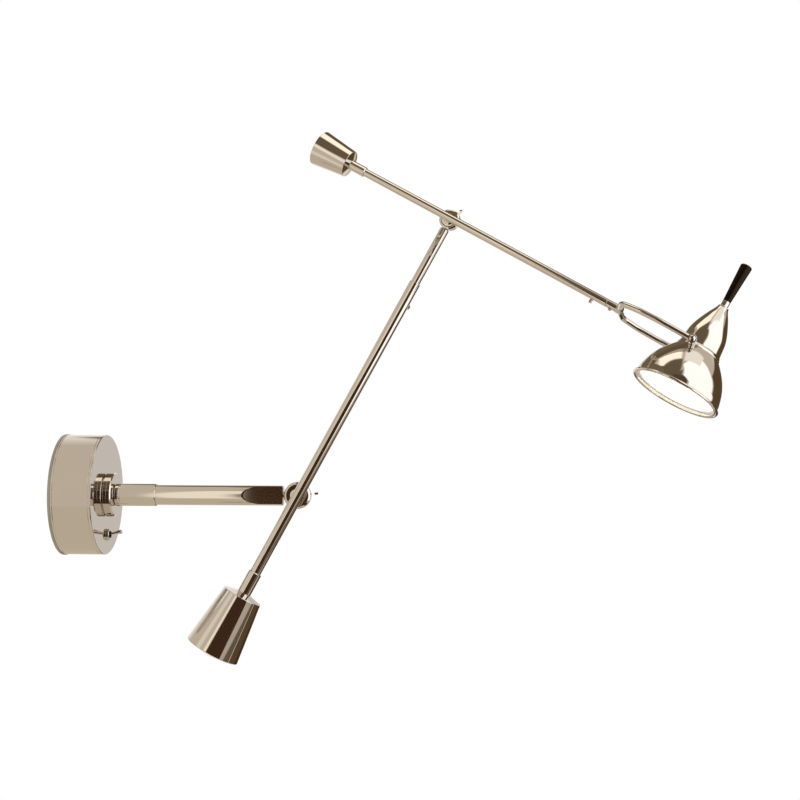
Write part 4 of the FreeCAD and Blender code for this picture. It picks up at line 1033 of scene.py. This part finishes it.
# Each card's centre, facing, width, height, colour and soft edge, in metres
studio = {
    "frontDark": ((0.445, -0.7, -0.205), (0, 1, 0), 0.83, 1.01, "#38261a", 0.03),
    "frontMiddle": ((0.53, -0.71, 0.43), (0, 1, 0), 0.66, 0.38, "#4b3c30", 0.05),
    "frontHigh": ((0.42, -0.715, 0.82), (0, 1, 0), 0.88, 0.52, "#5d4e3f", 0.06),
    "frontCream": ((-0.03, -0.705, 0.2), (0, 1, 0), 0.16, 1.4, "#e3d8c8", 0.04),
    "frontPale": ((0.08, -0.73, 0.4), (0, 1, 0), 0.34, 0.3, "#dacfbe", 0.05),
    "leftPale": ((-0.68, -0.7, 0.1), (0, 1, 0), 0.72, 1.6, "#cbc2b4", 0.1),
    "rightSoft": ((1.225, -0.375, 0.7), rightwards, 1.07, 2.1, "#ffffff", 0.05),
    "rightLow": ((1.235, -0.385, -0.43), rightwards, 1.07, 0.34, "#a3978b", 0.06),
    "rightFoot": ((1.245, -0.395, -0.8), rightwards, 1.07, 0.52, "#5a4d43", 0.06),
    "rightBack": ((1.204, 0.4225, -0.275), (-0.687, -0.727, 0), 1.01, 1.45, "#4f3e2a", 0.06),
    "backLow": ((0.72, 0.9, -0.64), (0, -1, 0), 0.95, 0.6, "#3a2b1e", 0.06),
    "topFlag": ((0.37, -0.76, 0.8), (0, 0, -1), 0.72, 1.2, "#5d503f", 0.05),
    "topFlagBack": ((0.47, 0.38, 0.8), (0, 0, -1), 0.96, 0.44, "#584b39", 0.05),
    "leftFlag": ((0.15, 0.02, 0.64), (1, 0, 0), 0.95, 0.4, "#645744", 0.05),
    "backFlag": ((0.3, 0.5, 0.71), (0, -1, 0), 0.98, 0.82, "#625541", 0.06),
    "topSoft": ((0.45, 0.01, 0.82), (0, 0, -1), 0.5, 0.4, "#fff3e2", 0.05),
    "topRight": ((1.02, -0.07, 0.82), (0, 0, -1), 0.6, 0.42, "#e3dbd2", 0.05),
    "backGrey": ((0.6, 1.5, 0.1), (0, -1, 0), 0.9, 1.2, "#b6b0ab", 0.15),
    "lowCard": ((0.4, 0, -0.94), (0, 0, 1), 8.0, 8.0, "#b0a494", 0.3),
}
for cardName, card in studio.items():
    addCard(cardName, *card)


def makeTent():
    # A light tent that only mirrors see: beige in front, pale behind.
    tent = {"radius": 3.0, "turnFrom": 1.05, "turnTo": 2.4, "front": "#b3a89a", "back": "#d8d3cd"}
    mesh = bpy.data.meshes.new("lightTent")
    work = bmesh.new()
    bmesh.ops.create_icosphere(work, subdivisions=3, radius=tent["radius"])
    work.to_mesh(mesh)
    work.free()
    material, tree = emptyMaterial("light_tent_cloth")
    place = addNode(tree, "ShaderNodeTexCoord").outputs["Object"]
    parts = addNode(tree, "ShaderNodeSeparateXYZ", links={0: place})
    ramp = addNode(tree, "ShaderNodeMapRange", {"From Min": tent["turnFrom"], "From Max": tent["turnTo"]},
                   {"Value": parts.outputs["Y"]})
    color = blend(tree, ramp.outputs[0], tent["front"], tent["back"])
    glow = addNode(tree, "ShaderNodeEmission", {"Strength": mirrorGain}, {"Color": color})
    addNode(tree, "ShaderNodeOutputMaterial", links={"Surface": glow.outputs[0]})
    material.cycles.emission_sampling = "NONE"
    mesh.materials.append(material)
    onlyMirrored(newObject("lightTent", mesh))


def addSoftbox(name, centre, width, height, radiance, hexText):
    light = bpy.data.lights.new(name, "AREA")
    light.shape = "RECTANGLE"
    light.size, light.size_y = width, height
    light.energy = radiance * math.pi * width * height
    light.color = linearColor(hexText)[:3]
    lamp = newObject(name, light)
    lamp.location = centre
    lamp.rotation_euler = (Vector(lookAt) - Vector(centre)).to_track_quat("-Z", "Y").to_euler()
    lamp.visible_camera = False
    lamp.visible_glossy = False


lookAt = (0.38, 0.0, 0.12)      # where every softbox points
# Each softbox's centre, width and height in metres, its radiance and its colour
softboxes = {
    "keySoftbox": ((-0.7, -0.9, 1.5), 0.9, 0.9, 1.9, "#fff8ea"),
    "rightSoftbox": ((1.7, -1.55, 0.25), 0.75, 1.5, 1.15, "#fdfcff"),
    "topSoftbox": ((0.5, -0.1, 2.0), 1.4, 1.0, 0.9, "#ffffff"),
}
for boxName, softbox in softboxes.items():
    addSoftbox(boxName, *softbox)


def makeFloor():
    floor = {"height": -0.95, "size": 14.0}
    mesh = flatMesh("floor", floor["size"], floor["size"], floor["height"])
    material, tree = emptyMaterial("pale_floor_paper")
    paper = addNode(tree, "ShaderNodeBsdfDiffuse", {"Color": linearColor("#f2f1ee")})
    glow = addNode(tree, "ShaderNodeEmission", {"Color": (1, 1, 1, 1), "Strength": 1.0})
    mix = addNode(tree, "ShaderNodeMixShader",
                  links={0: seenDirectly(tree), 1: paper.outputs[0], 2: glow.outputs[0]})
    addNode(tree, "ShaderNodeOutputMaterial", links={"Surface": mix.outputs[0]})
    mesh.materials.append(material)
    newObject("floor", mesh)


def seenDirectly(tree):
    # 1 for a ray from the camera, a mirror or glass, 0 for diffuse light.
    path = addNode(tree, "ShaderNodeLightPath")
    direct = mathNode(tree, "MAXIMUM", path.outputs["Is Camera Ray"], path.outputs["Is Glossy Ray"])
    return mathNode(tree, "MAXIMUM", direct, path.outputs["Is Transmission Ray"])


def makeWorld():
    world = bpy.data.worlds.new("studio")
    bpy.context.scene.world = world
    world.use_nodes = True
    tree = world.node_tree
    tree.nodes.clear()
    fill = addNode(tree, "ShaderNodeBackground", {"Color": linearColor("#f4f2ee"), "Strength": 0.45})
    plain = addNode(tree, "ShaderNodeBackground", {"Color": (1, 1, 1, 1), "Strength": 1.0})
    mix = addNode(tree, "ShaderNodeMixShader",
                  links={0: seenDirectly(tree), 1: fill.outputs[0], 2: plain.outputs[0]})
    addNode(tree, "ShaderNodeOutputWorld", links={"Surface": mix.outputs[0]})


makeFloor()
makeWorld()
makeTent()
view = {"place": (0.46012, -1.47677, 0.095), "turn": 4.748, "lens": 67.5}
lens = bpy.data.cameras.new("camera")
lens.lens = view["lens"]
lens.sensor_width = 36.0
camera = newObject("camera", lens)
camera.location = view["place"]
camera.rotation_euler = (math.radians(90), 0, math.radians(view["turn"]))
bpy.context.scene.camera = camera
bpy.context.scene.view_settings.view_transform = "Standard"
print("studio ready")
